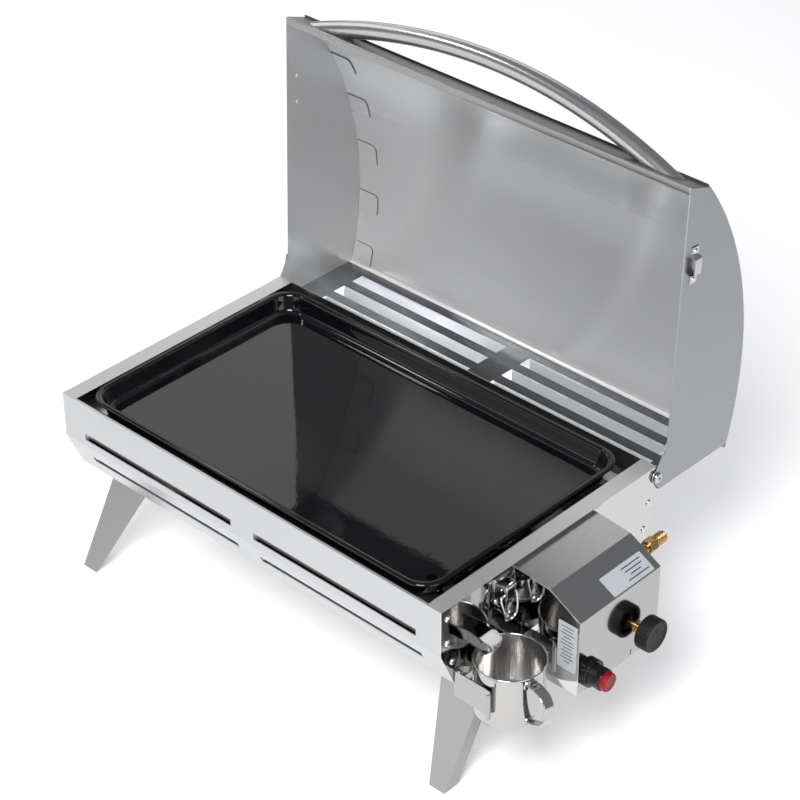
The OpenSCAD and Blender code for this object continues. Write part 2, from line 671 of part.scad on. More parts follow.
bracket_r = 4;
module leg_bracket(side, rear) color("silver") at_corner(side, rear) difference() {
    drop = -body_h - pivot_z;
    union() {
        translate([-leg_top_w / 2, 0, drop - leg_t / 2])
            cube([leg_top_w - 2 * leg_t - 2 * leg_ear, 2 * bracket_r, leg_t], center = true);
        for (x = [-leg_t - leg_ear - leg_t / 2, -leg_top_w + leg_t + leg_ear + leg_t / 2])
            translate([x, 0, 0]) across(leg_t) {
                circle(bracket_r);
                translate([-bracket_r, 0]) square([2 * bracket_r, drop]);
            }
    }
    translate([-leg_top_w / 2, 0, 0]) rod_x(pin_d, leg_top_w + 10);
}
module leg_bracket_front_left() leg_bracket(-1, false);
module leg_bracket_front_right() leg_bracket(1, false);
module leg_bracket_rear_left() leg_bracket(-1, true);
module leg_bracket_rear_right() leg_bracket(1, true);
module leg_pins() color("lightgray") for (s = [-1, 1], rear = [false, true]) at_corner(s, rear)
    translate([-leg_top_w / 2, 0, 0]) {
        rod_x(pin_d, leg_top_w + 0.2);
        for (e = [-1, 1]) translate([e * (leg_top_w / 2 + 0.25), 0, 0]) rod_x(pin_d + 3, 0.3);
    }

// ---- Controls ----
module valve_stem() color("goldenrod") translate([box_x - 6, knob_y, knob_z]) rod_x(stem_d, 50);
module gas_knob() color([0.08, 0.08, 0.09]) translate([box_x + knob_gap + knob_l / 2, knob_y, knob_z])
    difference() {
        union() {
            rod_x(knob_d - 1, knob_l);
            for (a = [0:15:345]) rotate([a, 0, 0]) translate([-1, 0, knob_d / 2 - 1.2])
                rod_x(2.4, knob_l - 3);
        }
        translate([-6, 0, 0]) rod_x(stem_d, knob_l);
        translate([-knob_l / 2, 0, 0]) ring_x(knob_d - 7, 15, 8);
        translate([knob_l / 2, 0, knob_d / 4]) cube([1.2, 2, knob_d / 2 - 4], center = true);
    }
module igniter_button() color("red") translate([box_x + button_reach - 7, igniter_y, igniter_z]) {
    rod_x(button_d, 14);
    translate([-14, 0, 0]) rod_x(stem_d, 22);
}

placed() body_wrapper();
placed() end_panel_left();
placed() end_panel_right();
placed() plate_support_front();
placed() plate_support_rear();
placed() body_rivets();
placed() burner();
placed() burner_bracket();
placed() venturi_tube();
placed() gas_jet();
placed() gas_valve();
placed() valve_plug();
placed() gas_pipe();
placed() gas_inlet();
placed() control_box();
placed() warning_label();
placed() rating_label();
placed() igniter_housing();
placed() igniter_nut();
placed() igniter_electrode();
placed() igniter_lead();
placed() mug_holder();
placed() holder_rivets();
placed() grease_chute();
placed() latch_base_left();
placed() latch_base_right();
placed() latch_rivets();
placed() leg_bracket_front_left();
placed() leg_bracket_front_right();
placed() leg_bracket_rear_left();
placed() leg_bracket_rear_right();
placed() leg_pins();
placed() hinge_screws();
placed() hinge_washers();
placed() hotplate();
placed() lid_skin();
placed() lid_cap_left();
placed() lid_cap_right();
placed() lid_handle();
placed() keeper_left();
placed() keeper_right();
placed() keeper_rivets();
placed() leg_front_left();
placed() leg_front_right();
placed() leg_rear_left();
placed() leg_rear_right();
placed() latch_lever_left();
placed() latch_lever_right();
placed() latch_bail_left();
placed() latch_bail_right();
placed() valve_stem();
placed() gas_knob();
placed() igniter_button();
placed() mug();
placed() mug_handle();
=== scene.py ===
"""Looks of the folding camp grill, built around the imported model.

Lengths of the pieces are in millimetres in the grill's own frame: X along the body from its middle,
Y back from the front sheet, Z up from the top rim. Places of lamps are in metres of the scene."""
import json
import math

import bmesh
import bpy
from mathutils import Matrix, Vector

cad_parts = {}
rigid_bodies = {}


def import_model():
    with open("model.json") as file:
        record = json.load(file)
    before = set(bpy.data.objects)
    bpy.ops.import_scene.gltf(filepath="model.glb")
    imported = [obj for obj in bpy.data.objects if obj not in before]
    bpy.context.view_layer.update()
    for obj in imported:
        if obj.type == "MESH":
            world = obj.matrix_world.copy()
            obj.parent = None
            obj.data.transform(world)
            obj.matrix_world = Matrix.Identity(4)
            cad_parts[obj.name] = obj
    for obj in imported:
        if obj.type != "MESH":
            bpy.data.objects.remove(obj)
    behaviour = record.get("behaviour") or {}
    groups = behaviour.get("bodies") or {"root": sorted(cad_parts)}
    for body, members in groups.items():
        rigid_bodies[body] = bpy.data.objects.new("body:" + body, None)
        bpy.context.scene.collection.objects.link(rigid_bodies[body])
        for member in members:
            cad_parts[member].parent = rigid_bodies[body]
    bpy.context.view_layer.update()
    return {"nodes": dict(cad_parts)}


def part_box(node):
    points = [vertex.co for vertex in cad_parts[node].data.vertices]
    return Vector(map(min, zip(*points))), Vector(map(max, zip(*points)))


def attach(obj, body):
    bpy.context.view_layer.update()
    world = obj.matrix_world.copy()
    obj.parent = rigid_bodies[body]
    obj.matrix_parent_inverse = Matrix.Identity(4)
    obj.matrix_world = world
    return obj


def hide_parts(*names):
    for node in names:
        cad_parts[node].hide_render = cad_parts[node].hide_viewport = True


for start_object in list(bpy.data.objects):
    bpy.data.objects.remove(start_object)
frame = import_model()
NODES = frame["nodes"]

# The grill's own frame, found from the body wrapper: its middle, its front face and its top rim
wrap_lo, wrap_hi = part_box("body_wrapper")
MID = Vector(((wrap_lo[0] + wrap_hi[0]) / 2, wrap_lo[1], wrap_hi[2]))
# Outer face of the end panels, thickness of the sheets, height of the front slots and their drop
HALF_W = 277.5
SHEET = 1.2
SLOT_H = 9
SLOT_DROP = 38
# Middle of the mug's foot, face of the control box, axis of the knob
MUG = (316.5, 58, -132)
BOX_X = 362.5
KNOB_Y, KNOB_Z = 201, -88
# Axis of the latch levers, height of the keepers on the closed lid
LATCH_Y, LATCH_Z = 88, -14
KEEPER_Z = 17
# The lid's pivot and how far it is open
HINGE = (331, -13)
OPEN = math.radians(91.5)
# Outline of the closed lid as (Y, Z): edges and middle of the strip, rear wall's edges, crown's arc
STRIP_FOOT, STRIP_TOP = Vector((-5, 1)), Vector((6, 34))
STRIP_MID = (0.5, 17.5)
STRIP_TILT = math.atan2(11, 33)
REAR_CORNER, REAR_FOOT = Vector((347, 109)), Vector((349, -7))
WALL_TOP = REAR_CORNER.y - 6
CROWN_R = 380
chord = REAR_CORNER - STRIP_TOP
CROWN_C = ((STRIP_TOP + REAR_CORNER) / 2 + Vector((chord.y, -chord.x)).normalized()
           * math.sqrt(CROWN_R ** 2 - (chord.length / 2) ** 2))
# Angle left off at each end of the crown for its rounded corners
TRIM = 0.012
LID_HALF = 278.3
TAB_X = 248.8


def P(x, y, z):
    """A point of the grill's own frame, as a place in the scene."""
    return MID + Vector((x, y, z)) / 1000


# ---------------------------------------------------------------- materials
def new_material(name):
    """A node material, its node tree and its surface shader."""
    m = bpy.data.materials.new(name)
    m.use_nodes = True
    nt = m.node_tree
    return m, nt, nt.nodes["Principled BSDF"]


def noise(nt, scale, stretch=(1, 1, 1), detail=4.0, rough=0.55):
    """A noise texture in the frame's own coordinates, stretched to make grain."""
    tc = nt.nodes.new("ShaderNodeTexCoord")
    mp = nt.nodes.new("ShaderNodeMapping")
    mp.inputs["Scale"].default_value = stretch
    nz = nt.nodes.new("ShaderNodeTexNoise")
    nz.inputs["Scale"].default_value = scale
    nz.inputs["Detail"].default_value = detail
    nz.inputs["Roughness"].default_value = rough
    nt.links.new(tc.outputs["Object"], mp.inputs["Vector"])
    nt.links.new(mp.outputs["Vector"], nz.inputs["Vector"])
    return nz.outputs["Fac"]


def spread(nt, fac, low, high, start=0.3, end=0.7):
    """Maps a value that runs from start to end onto low to high."""
    mr = nt.nodes.new("ShaderNodeMapRange")
    mr.inputs["From Min"].default_value = start
    mr.inputs["From Max"].default_value = end
    mr.inputs["To Min"].default_value = low
    mr.inputs["To Max"].default_value = high
    nt.links.new(fac, mr.inputs["Value"])
    return mr.outputs["Result"]


def ramp(nt, fac, stops):
    """Colours a value by (position, colour) stops."""
    cr = nt.nodes.new("ShaderNodeValToRGB")
    els = cr.color_ramp.elements
    while len(els) < len(stops):
        els.new(0.5)
    for e, (pos, col) in zip(els, stops):
        e.position = pos
        e.color = (*col, 1)
    nt.links.new(fac, cr.inputs["Fac"])
    return cr.outputs["Color"]


def bump(nt, bsdf, height, strength, distance=0.0005):
    """Gives a surface a fine relief."""
    bp = nt.nodes.new("ShaderNodeBump")
    bp.inputs["Strength"].default_value = strength
    bp.inputs["Distance"].default_value = distance
    nt.links.new(height, bp.inputs["Height"])
    nt.links.new(bp.outputs["Normal"], bsdf.inputs["Normal"])


def math_node(nt, operation, first, second):
    """The result of one operation on two values."""
    node = nt.nodes.new("ShaderNodeMath")
    node.operation = operation
    nt.links.new(first, node.inputs[0])
    nt.links.new(second, node.inputs[1])
    return node.outputs[0]


def metal(name, tone, rough, grain, grain_scale, spread_by, marks=0.0, wave=0.0, warm=0.0,
          relief=0.012, metallic=1.0):
    """Metal with grain lines in its roughness and surface, faint marks and a slow change of tone.
    The tone is a grey, or a colour for brass and copper."""
    m, nt, b = new_material(name)
    b.inputs["Metallic"].default_value = metallic
    if isinstance(tone, tuple):
        light, dark = tone, [v * 0.85 for v in tone]
    else:
        light = [tone * 1.02 * (1 + warm), tone * 1.02, tone * 1.02 * (1 - warm)]
        dark = [tone * 0.975 * (1 + warm), tone * 0.975, tone * 0.98 * (1 - warm)]
    slow = noise(nt, 5, detail=2)
    nt.links.new(ramp(nt, slow, [(0.3, dark), (0.7, light)]), b.inputs["Base Color"])
    lines = noise(nt, grain_scale * 1.6, grain, detail=3, rough=0.6)
    dull = spread(nt, lines, rough - spread_by, rough + spread_by)
    if marks:
        blotch = noise(nt, 34, detail=5, rough=0.65)
        dull = math_node(nt, "ADD", dull, spread(nt, blotch, 0.0, marks, 0.45, 0.75))
    nt.links.new(dull, b.inputs["Roughness"])
    if wave:
        bump(nt, b, noise(nt, 7, detail=1), wave, 0.002)
    elif relief:
        bump(nt, b, lines, relief)
    return m


def plastic(name, colour, rough, grain=900, strength=0.08, coat=0.0, vary=0.25):
    """A moulded, printed or cast surface with a fine grain and a mottled colour."""
    m, nt, b = new_material(name)
    c = Vector(colour)
    fine = noise(nt, grain, detail=4)
    slow = noise(nt, 40, detail=4)
    nt.links.new(ramp(nt, slow, [(0.3, c * (1 - vary)), (0.72, c * (1 + vary))]),
                 b.inputs["Base Color"])
    nt.links.new(spread(nt, slow, rough - 0.06, rough + 0.08), b.inputs["Roughness"])
    b.inputs["Coat Weight"].default_value = coat
    b.inputs["IOR"].default_value = 1.3
    bump(nt, b, fine, strength, 0.0003)
    return m


# Stretches of the noise, which draw it out into grain along one axis
even_grain = (1, 1, 1)
along_x = (0.02, 1, 1)
along_y = (1, 0.02, 1)
along_z = (1, 1, 0.02)

MAT = {
    "front": metal("satin_front", 0.49, 0.30, along_x, 420, 0.012, relief=0.003, warm=-0.012),
    "mirror": metal("polished_panel", 0.55, 0.05, along_z, 300, 0.01, 0.01, wave=0.02, warm=0.015),
    # painted light: the crown is the same steel as the strip and caps, given a much lighter tone
    # for the light that falls into the open lid
    "lid": metal("satin_lid", 0.79, 0.22, along_x, 420, 0.012, relief=0.003, metallic=0.72),
    "strip": metal("satin_strip", 0.30, 0.34, along_x, 420, 0.012, relief=0.003),
    # painted shade: the lid's rear wall is its own sheet in a far darker tone, standing in for the
    # shade on it
    "lid_rear": metal("rear_wall_painted_shade", 0.11, 0.26, along_x, 420, 0.02, warm=-0.03),
    # painted light: the louvre blades are the rear wall's own sheet in a much lighter tone, and
    # their side ends are lighter still as a painted highlight
    "blade": metal("louvre_blade_painted_light", 0.80, 0.30, along_x, 420, 0.02, warm=-0.05),
    "blade_end": metal("louvre_end_painted_highlight", 0.95, 0.35, along_x, 420, 0.02, warm=-0.02),
    # painted light: the blades behind the front slots are the front sheet's own metal in lighter
    # tones, so that they show grey in the shade behind the slots
    "blade_dark": metal("upper_louvre_painted_light", 0.75, 0.45, along_x, 420, 0.02),
    "blade_front": metal("lower_louvre_painted_light", 0.70, 0.32, along_x, 420, 0.02, warm=-0.02),
    # painted light and shade: the end caps are one sheet in two tones, darker on the outside and
    # lighter on the inside
    "cap": metal("satin_cap", 0.31, 0.30, along_z, 380, 0.02, warm=-0.025),
    "cap_inside": metal("satin_cap_inside_painted_light", 0.54, 0.32, along_z, 380, 0.02, metallic=0.8),
    "box": metal("brushed_box", 0.37, 0.26, along_y, 420, 0.015, relief=0.008),
    "box_slope": metal("brushed_box_slope", 0.37, 0.3, along_y, 420, 0.015, relief=0.008),
    "box_face": metal("polished_box_face", 0.38, 0.10, along_y, 300, 0.02, wave=0.02),
    "handle": metal("brushed_handle", 0.43, 0.27, (0.05, 1, 1), 90, 0.01, relief=0.0),
    "leg": metal("satin_leg", 0.31, 0.34, along_z, 380, 0.012, relief=0.003),
    "mug": metal("polished_mug", 0.44, 0.09, along_z, 260, 0.02, warm=0.02, relief=0.02),
    # satin inside, and painted light: the inside is also given a lighter tone than the cup's
    # outside
    "mug_inside_painted_light": metal("satin_mug_inside_painted_light", 0.62, 0.20, along_z, 200, 0.06, warm=0.02),
    "wire": metal("bright_wire", 0.52, 0.12, even_grain, 500, 0.03),
    "chute": metal("bright_chute", 0.20, 0.10, along_x, 400, 0.02),
    "rivet": metal("rivet_head", 0.62, 0.20, even_grain, 700, 0.04),
    "brass": metal("turned_brass", (0.58, 0.39, 0.16), 0.26, even_grain, 600, 0.06),
    "copper": metal("drawn_pipe", (0.60, 0.32, 0.19), 0.3, even_grain, 500, 0.06),
    "burner": plastic("burner_iron", (0.16, 0.16, 0.17), 0.6, 500, 0.3),
    "black": plastic("black_moulding", (0.006, 0.006, 0.0065), 0.45),
    "black_gloss": plastic("black_gloss_moulding", (0.006, 0.006, 0.007), 0.2, 500, 0.04, coat=0.2),
    "red": plastic("red_button", (0.22, 0.004, 0.006), 0.36, 600, 0.05, coat=0.1),
    "ceramic": plastic("ceramic_insulator", (0.8, 0.79, 0.75), 0.25, 500, 0.05, vary=0.05),
    "label": plastic("label_film", (0.37, 0.39, 0.42), 0.42, 900, 0.02, vary=0.03),
    "ink": plastic("printed_bars", (0.05, 0.05, 0.06), 0.5, 900, 0.02),
    # black washers, and the painted shade of the gaps around the cap tabs and the handle
    "washer": plastic("black_washer_and_gap_shade", (0.05, 0.05, 0.05), 0.5),
}
# The polished ends have a duller brushed flange along the top
nt = MAT["mirror"].node_tree
facing = nt.nodes.new("ShaderNodeSeparateXYZ")
nt.links.new(nt.nodes.new("ShaderNodeNewGeometry").outputs["True Normal"], facing.inputs[0])
rough_in = nt.nodes["Principled BSDF"].inputs["Roughness"]
dull = math_node(nt, "MAXIMUM", rough_in.links[0].from_socket,
                 spread(nt, facing.outputs["Z"], 0.0, 0.42, 0.6, 0.9))
nt.links.new(dull, rough_in)


def enamel():
    """Black porcelain enamel: deep gloss with a fine orange peel and a few dull specks."""
    m, nt, b = new_material("black_enamel")
    slow = noise(nt, 14, detail=5)
    nt.links.new(ramp(nt, slow, [(0.3, (0.002, 0.002, 0.003)), (0.75, (0.004, 0.004, 0.005))]),
                 b.inputs["Base Color"])
    specks = noise(nt, 900, detail=2)
    nt.links.new(spread(nt, specks, 0.035, 0.14, 0.62, 0.80), b.inputs["Roughness"])
    b.inputs["IOR"].default_value = 1.4
    bump(nt, b, noise(nt, 190, detail=2), 0.10, 0.0003)
    return m


MAT["enamel"] = enamel()

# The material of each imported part; parts that aren't named have the front's
NODE_MATERIAL = {
    "end_panel_left": "mirror", "end_panel_right": "mirror", "control_box": "box",
    "lid_skin": "lid", "lid_cap_left": "cap", "lid_cap_right": "cap", "lid_handle": "handle",
    "hotplate": "enamel", "burner": "burner",
    "gas_jet": "brass", "gas_valve": "brass", "valve_plug": "brass", "gas_pipe": "copper",
    "gas_inlet": "brass", "valve_stem": "brass", "warning_label": "label", "rating_label": "label",
    "igniter_housing": "black_gloss", "igniter_nut": "black_gloss", "igniter_electrode": "ceramic",
    "igniter_lead": "black", "mug_holder": "box_face", "grease_chute": "chute",
    "latch_base_left": "wire", "latch_base_right": "wire", "latch_lever_left": "wire",
    "latch_lever_right": "wire", "latch_bail_left": "wire", "latch_bail_right": "wire",
    "body_rivets": "rivet", "latch_rivets": "rivet", "holder_rivets": "rivet",
    "keeper_rivets": "rivet", "keeper_left": "wire", "keeper_right": "wire", "leg_pins": "rivet",
    "hinge_screws": "wire", "hinge_washers": "washer", "gas_knob": "black",
    "igniter_button": "red", "mug": "mug", "mug_handle": "mug",
}
for name, obj in NODES.items():
    key = NODE_MATERIAL.get(name) or ("leg" if name.startswith("leg_") else "front")
    obj.data.materials.clear()
    obj.data.materials.append(MAT[key])

# ---------------------------------------------------------------- camera
CAMERA_AT = (1539.1, -1407.1, 1531.1)
CAMERA_AIM = (-0.5651, 0.6042, -0.5619)


def add_object(name, data):
    """A new object in the scene."""
    ob = bpy.data.objects.new(name, data)
    bpy.context.scene.collection.objects.link(ob)
    return ob


cam_data = bpy.data.cameras.new("camera")
cam_data.lens = 113.7
cam_data.sensor_width = 36
cam_data.clip_end = 50
cam = add_object("camera", cam_data)
cam.location = P(*CAMERA_AT)
cam.rotation_euler = Vector(CAMERA_AIM).to_track_quat("-Z", "Y").to_euler()
bpy.context.scene.camera = cam


# ---------------------------------------------------------------- mesh helpers
def outward_mesh(name, verts, faces):
    """A mesh from points of the grill's frame, welded and with its faces turned outward."""
    me = bpy.data.meshes.new(name)
    me.from_pydata([P(*v) for v in verts], [], faces)
    bm = bmesh.new()
    bm.from_mesh(me)
    bmesh.ops.remove_doubles(bm, verts=bm.verts, dist=2e-6)
    bmesh.ops.recalc_face_normals(bm, faces=bm.faces)
    bm.to_mesh(me)
    bm.free()
    return me


def shade_smooth(me, sharp):
    """Shades a mesh smooth, apart from edges of more than the sharp angle in degrees."""
    for poly in me.polygons:
        poly.use_smooth = True
    me.set_sharp_from_angle(angle=math.radians(sharp))


def piece(name, verts, faces, mats, body, sharp, slot, replaces=(), even=True):
    """A mesh piece of the object that rides on a body."""
    ob = add_object(name, outward_mesh(name, verts, faces))
    shade_smooth(ob.data, sharp)
    for key in mats if isinstance(mats, list) else [mats]:
        ob.data.materials.append(MAT[key])
    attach(ob, body)
    if replaces:
        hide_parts(*replaces)
    if even:
        even_shading(ob)
    return ob


def even_shading(ob):
    """Weights vertex normals by face area, so that large flat faces reflect flatly."""
    wn = ob.modifiers.new("shading", "WEIGHTED_NORMAL")
    wn.keep_sharp = True
    wn.weight = 90


def grid(loops, cap_start=False, cap_end=False):
    """Faces between closed loops of equal length."""
    verts = [v for loop in loops for v in loop]
    n = len(loops[0])
    faces = []
    for i in range(len(loops) - 1):
        for j in range(n):
            k = (j + 1) % n
            faces.append((i * n + j, i * n + k, (i + 1) * n + k, (i + 1) * n + j))
    if cap_start:
        faces.append(tuple(range(n - 1, -1, -1)))
    if cap_end:
        faces.append(tuple((len(loops) - 1) * n + j for j in range(n)))
    return verts, faces


def panel(rows, cols, openings=()):
    """Faces of an open sheet of rows of points, without the cells at openings."""
    return [(i * cols + j, i * cols + j + 1, (i + 1) * cols + j + 1, (i + 1) * cols + j)
            for i in range(rows - 1) for j in range(cols - 1) if (i, j) not in openings]


def joined(*parts):
    """Several (verts, faces) sets as one."""
    verts, faces = [], []
    for vs, fs in parts:
        k = len(verts)
        verts += vs
        faces += [tuple(i + k for i in f) for f in fs]
    return verts, faces


def lathe(origin, axis, profile, seg, radius=None):
    """Turns (distance along axis, radius) points about an axis; radius(t, a, r) may shape them."""
    ax = {"x": 0, "y": 1, "z": 2}[axis]
    u, v = [(1, 2), (2, 0), (0, 1)][ax]
    loops = []
    for t, r in profile:
        loop = []
        for i in range(seg):
            a = 2 * math.pi * i / seg
            rr = radius(t, a, r) if radius else r
            p = list(origin)
            p[ax] += t
            p[u] += rr * math.cos(a)
            p[v] += rr * math.sin(a)
            loop.append(tuple(p))
        loops.append(loop)
    return grid(loops, cap_start=profile[0][1] > 0.01, cap_end=profile[-1][1] > 0.01)


def smooth_path(points, per):
    """A Catmull-Rom curve through points, with a number of steps between each two."""
    pts = [Vector(p) for p in points]
    out = []
    for i in range(len(pts) - 1):
        a = pts[max(i - 1, 0)]
        b, c = pts[i], pts[i + 1]
        d = pts[min(i + 2, len(pts) - 1)]
        for k in range(per):
            t = k / per
            out.append(0.5 * ((2 * b) + (c - a) * t + (2 * a - 5 * b + 4 * c - d) * t * t
                              + (3 * b - a - 3 * c + d) * t ** 3))
    out.append(pts[-1])
    return out


def sweep(path, section, up):
    """Sweeps a closed section of (side, up) offsets, or a function giving it, along a path."""
    path = [Vector(p) for p in path]
    upv = Vector(up)
    loops = []
    for i, p in enumerate(path):
        t = (path[min(i + 1, len(path) - 1)] - path[max(i - 1, 0)]).normalized()
        side = t.cross(upv)
        if side.length < 1e-6:
            side = t.cross(Vector((1, 0, 0)))
        side.normalize()
        top = side.cross(t).normalized()
        sec = section(i / (len(path) - 1)) if callable(section) else section
        loops.append([tuple(p + side * a + top * b) for a, b in sec])
    return grid(loops, cap_start=True, cap_end=True)


def disc(r, seg):
    """A round section."""
    return [(r * math.cos(2 * math.pi * i / seg), r * math.sin(2 * math.pi * i / seg))
            for i in range(seg)]


def pill(w, t):
    """A flat strap section with rounded edges."""
    out = []
    r, seg = t / 2, 5
    for sx, a0 in ((1, -90), (-1, 90)):
        for k in range(seg + 1):
            a = math.radians(a0 + 180 * k / seg)
            out.append((sx * (w / 2 - r) + r * math.cos(a), r * math.sin(a)))
    return out


def rounded_rect(w, d, r, seg):
    """A rectangle about the origin with rounded corners."""
    out = []
    for sx, sy, a0 in ((1, -1, -90), (1, 1, 0), (-1, 1, 90), (-1, -1, 180)):
        for k in range(seg + 1):
            a = math.radians(a0 + 90 * k / seg)
            out.append((sx * (w / 2 - r) + r * math.cos(a), sy * (d / 2 - r) + r * math.sin(a)))
    return out


def cut(obj, cutter_verts, cutter_faces):
    """Cuts a closed mesh out of a piece, and applies it."""
    cutter = add_object("cutter", outward_mesh("cutter", cutter_verts, cutter_faces))
    mod = obj.modifiers.new("cut", "BOOLEAN")
    mod.object = cutter
    mod.solver = "EXACT"
    bpy.context.view_layer.update()
    dg = bpy.context.evaluated_depsgraph_get()
    done = bpy.data.meshes.new_from_object(obj.evaluated_get(dg))
    obj.modifiers.remove(mod)
    obj.data = done
    shade_smooth(done, 35)
    bpy.data.objects.remove(cutter)


# ---------------------------------------------------------------- hotplate
def hotplate():
    """The enamelled tray: (inset, height) points from its underside over the rim to the plate."""
    w, d, corner_r, mid_y = 500, 308, 28, 162
    prof = [(60, -17), (26, -17), (15, -16.9), (11, -15.8), (9, -13.6), (8, -10), (6.9, -2),
            (6.4, 1.2), (4.5, 1.9), (1.4, 1.7), (0.4, 2.3), (0, 3.3), (0.3, 4.5), (1.1, 5.5),
            (2.4, 6.0), (4.0, 6.0), (5.3, 5.6), (6.3, 4.8), (7.2, 3.2), (8.6, -2.5), (10.2, -9),
            (11.2, -11.6), (12.9, -13.5), (15.6, -14.6), (20, -15.0), (36, -15.2), (70, -15.4),
            (110, -15.5)]
    loops = []
    for inset, z in prof:
        outline = rounded_rect(w - 2 * inset, d - 2 * inset, max(corner_r - 0.42 * inset, 8), 12)
        loops.append([(x, y + mid_y, z) for x, y in outline])
    vs, fs = grid(loops, cap_start=True, cap_end=True)
    tray = piece("hotplate_tray", vs, fs, "enamel", "hotplate", sharp=50, replaces=["hotplate"],
                 slot="enamel")
    drain = lathe((220, 50, -30), "z", [(0, 6), (30, 6)], 40)
    cut(tray, *drain)


# ---------------------------------------------------------------- grease mug
def mug():
    """The spun cup, and its strap handle with two pads on the wall."""
    wall_r = 36.7
    prof = [(0, 29), (0, 32.4), (0.6, 34.6), (2.0, 36.0), (4.2, 36.6), (7, wall_r), (30, wall_r),
            (61.4, wall_r), (62.4, 36.9), (63.3, 37.45), (64.2, 37.6), (64.9, 37.2), (65.0, 36.6),
            (64.5, 36.0), (63.4, 35.8), (30, 35.8), (6, 35.8), (3.2, 35.0), (1.9, 33), (1.4, 30),
            (1.3, 10), (1.3, 0.02)]
    vs, fs = lathe(MUG, "z", prof, 128)
    cup = piece("mug_cup", vs, fs, ["mug", "mug_inside_painted_light"], "mug", sharp=60, replaces=["mug"],
                slot="polished_sheet")
    # Faces within the wall and above the bottom's underside are the inside, satin and painted
    # lighter than the outside
    foot = P(*MUG)
    for poly in cup.data.polygons:
        out = (poly.center - foot).to_2d().length
        poly.material_index = 1 if out < 0.0362 and poly.center.z > foot.z + 0.0008 else 0
    turn = math.radians(-15)

    def at(r, z, side=0.0):
        return (MUG[0] + r * math.cos(turn) - side * math.sin(turn),
                MUG[1] + r * math.sin(turn) + side * math.cos(turn), z)

    def section(t):
        return pill(12.4 - 4.2 * max(0, (t - 0.35)) / 0.65, 2.3)
    path = smooth_path([at(36.2, -74.5), at(41, -73.4), at(50, -72.4), at(59, -74.2), at(66, -80),
                        at(68.6, -89.5), at(66.2, -101), at(58.5, -110.5), at(48, -117),
                        at(40.5, -120.8), at(36.4, -123.6)], 7)
    parts = [sweep(path, section, up=(math.cos(turn), math.sin(turn), 0.15))]
    for z, s in ((-76.5, 1.0), (-122.0, 0.8)):
        loops = []
        for r, out in ((9.0 * s, 0.0), (8.6 * s, 0.7), (7.6 * s, 1.1), (0.05, 1.15)):
            ring = []
            for a, b in disc(r, 32):
                side, dz = a * 0.95, b * 0.62
                ring.append(at(math.sqrt(wall_r ** 2 - side ** 2) + out - 0.1, z + dz, side))
            loops.append(ring)
        parts.append(grid(loops, cap_start=True))
    piece("mug_strap", *joined(*parts), "mug", "mug", sharp=60, replaces=["mug_handle"],
          slot="polished_sheet")


# ---------------------------------------------------------------- controls
def knob():
    """A fluted knob with a groove for a pointer on its face."""
    prof = [(0.8, 4.2), (0.8, 7.0), (1.2, 7.4), (5, 7.7), (5, 14.4), (0.8, 15.0), (0.2, 15.4),
            (0, 16.0), (0, 17.2), (0.3, 18.0), (1.0, 18.4), (1.8, 18.5), (7, 18.5), (12.8, 18.5),
            (13.8, 18.3), (14.5, 17.8), (14.9, 17.0), (15, 16.2), (15, 14.6), (14.6, 14.0),
            (14.6, 6), (14.6, 0.02)]

    def flute(t, a, r):
        if r < 17.9 or t < 1.2 or t > 13.9:
            return r
        return r - 0.45 * max(0.0, math.cos(24 * a)) ** 3
    vs, fs = lathe((BOX_X + 10, KNOB_Y, KNOB_Z), "x", prof, 240, flute)
    ob = piece("knob_moulding", vs, fs, "black", "gas_knob", sharp=40, replaces=["gas_knob"],
               slot="black_plastic")
    prof = [(-1.2, 0.02), (-1.2, 1.0), (1, 1.0), (1, 0.02)]
    vs, fs = lathe((BOX_X + 25.4, KNOB_Y, KNOB_Z), "x", prof, 24)
    vs = [(x, KNOB_Y + (y - KNOB_Y) * 0.9, KNOB_Z + (z - KNOB_Z) * 5.2 + 9.2) for x, y, z in vs]
    cut(ob, vs, fs)


def igniter():
    """The ring nut with its grips, the ribbed body and the red button."""
    c = (BOX_X, 127, -102)

    def grips(t, a, r):
        if r < 14.5 or t < 0.5 or t > 5.6:
            return r
        return r - 1.1 * max(0.0, math.cos(8 * a)) ** 2
    prof = [(0, 12.0), (0, 15.0), (0.6, 15.5), (4.9, 15.5), (5.6, 15.2), (6, 14.6), (6, 13.0),
            (5.6, 12.0)]
    vs, fs = lathe(c, "x", prof, 160, grips)
    piece("igniter_ring", vs, fs, "black_gloss", "frame", sharp=40, replaces=["igniter_nut"],
          slot="black_plastic")
    prof = [(-36, 3), (-36, 7.4), (-35.4, 7.9), (-1.2, 7.9), (-1.2, 11.4)]
    for i in range(9):
        t = -0.8 + i * 1.5
        prof += [(t, 11.4), (t + 0.5, 11.9), (t + 0.9, 11.9), (t + 1.4, 11.4)]
    prof += [(13.2, 11.7), (13.6, 12.1), (18.6, 12.1), (19.6, 11.8), (20, 11.2), (20, 10.9),
             (12, 10.75), (3.2, 10.75), (3.2, 4.1)]
    vs, fs = lathe(c, "x", prof, 96)
    piece("igniter_body", vs, fs, "black_gloss", "frame", sharp=35, replaces=["igniter_housing"],
          slot="black_plastic")
    prof = [(-6, 3.6), (-6, 4.0), (12, 4.0), (12, 10.1), (12.4, 10.5), (24.2, 10.5), (25.0, 10.3),
            (25.6, 9.7), (26, 8.9), (26, 8.2), (25.5, 7.6), (25.3, 4), (25.3, 0.02)]
    vs, fs = lathe(c, "x", prof, 96)
    piece("button_cap", vs, fs, "red", "igniter_button", sharp=35, replaces=["igniter_button"],
          slot="red_plastic")


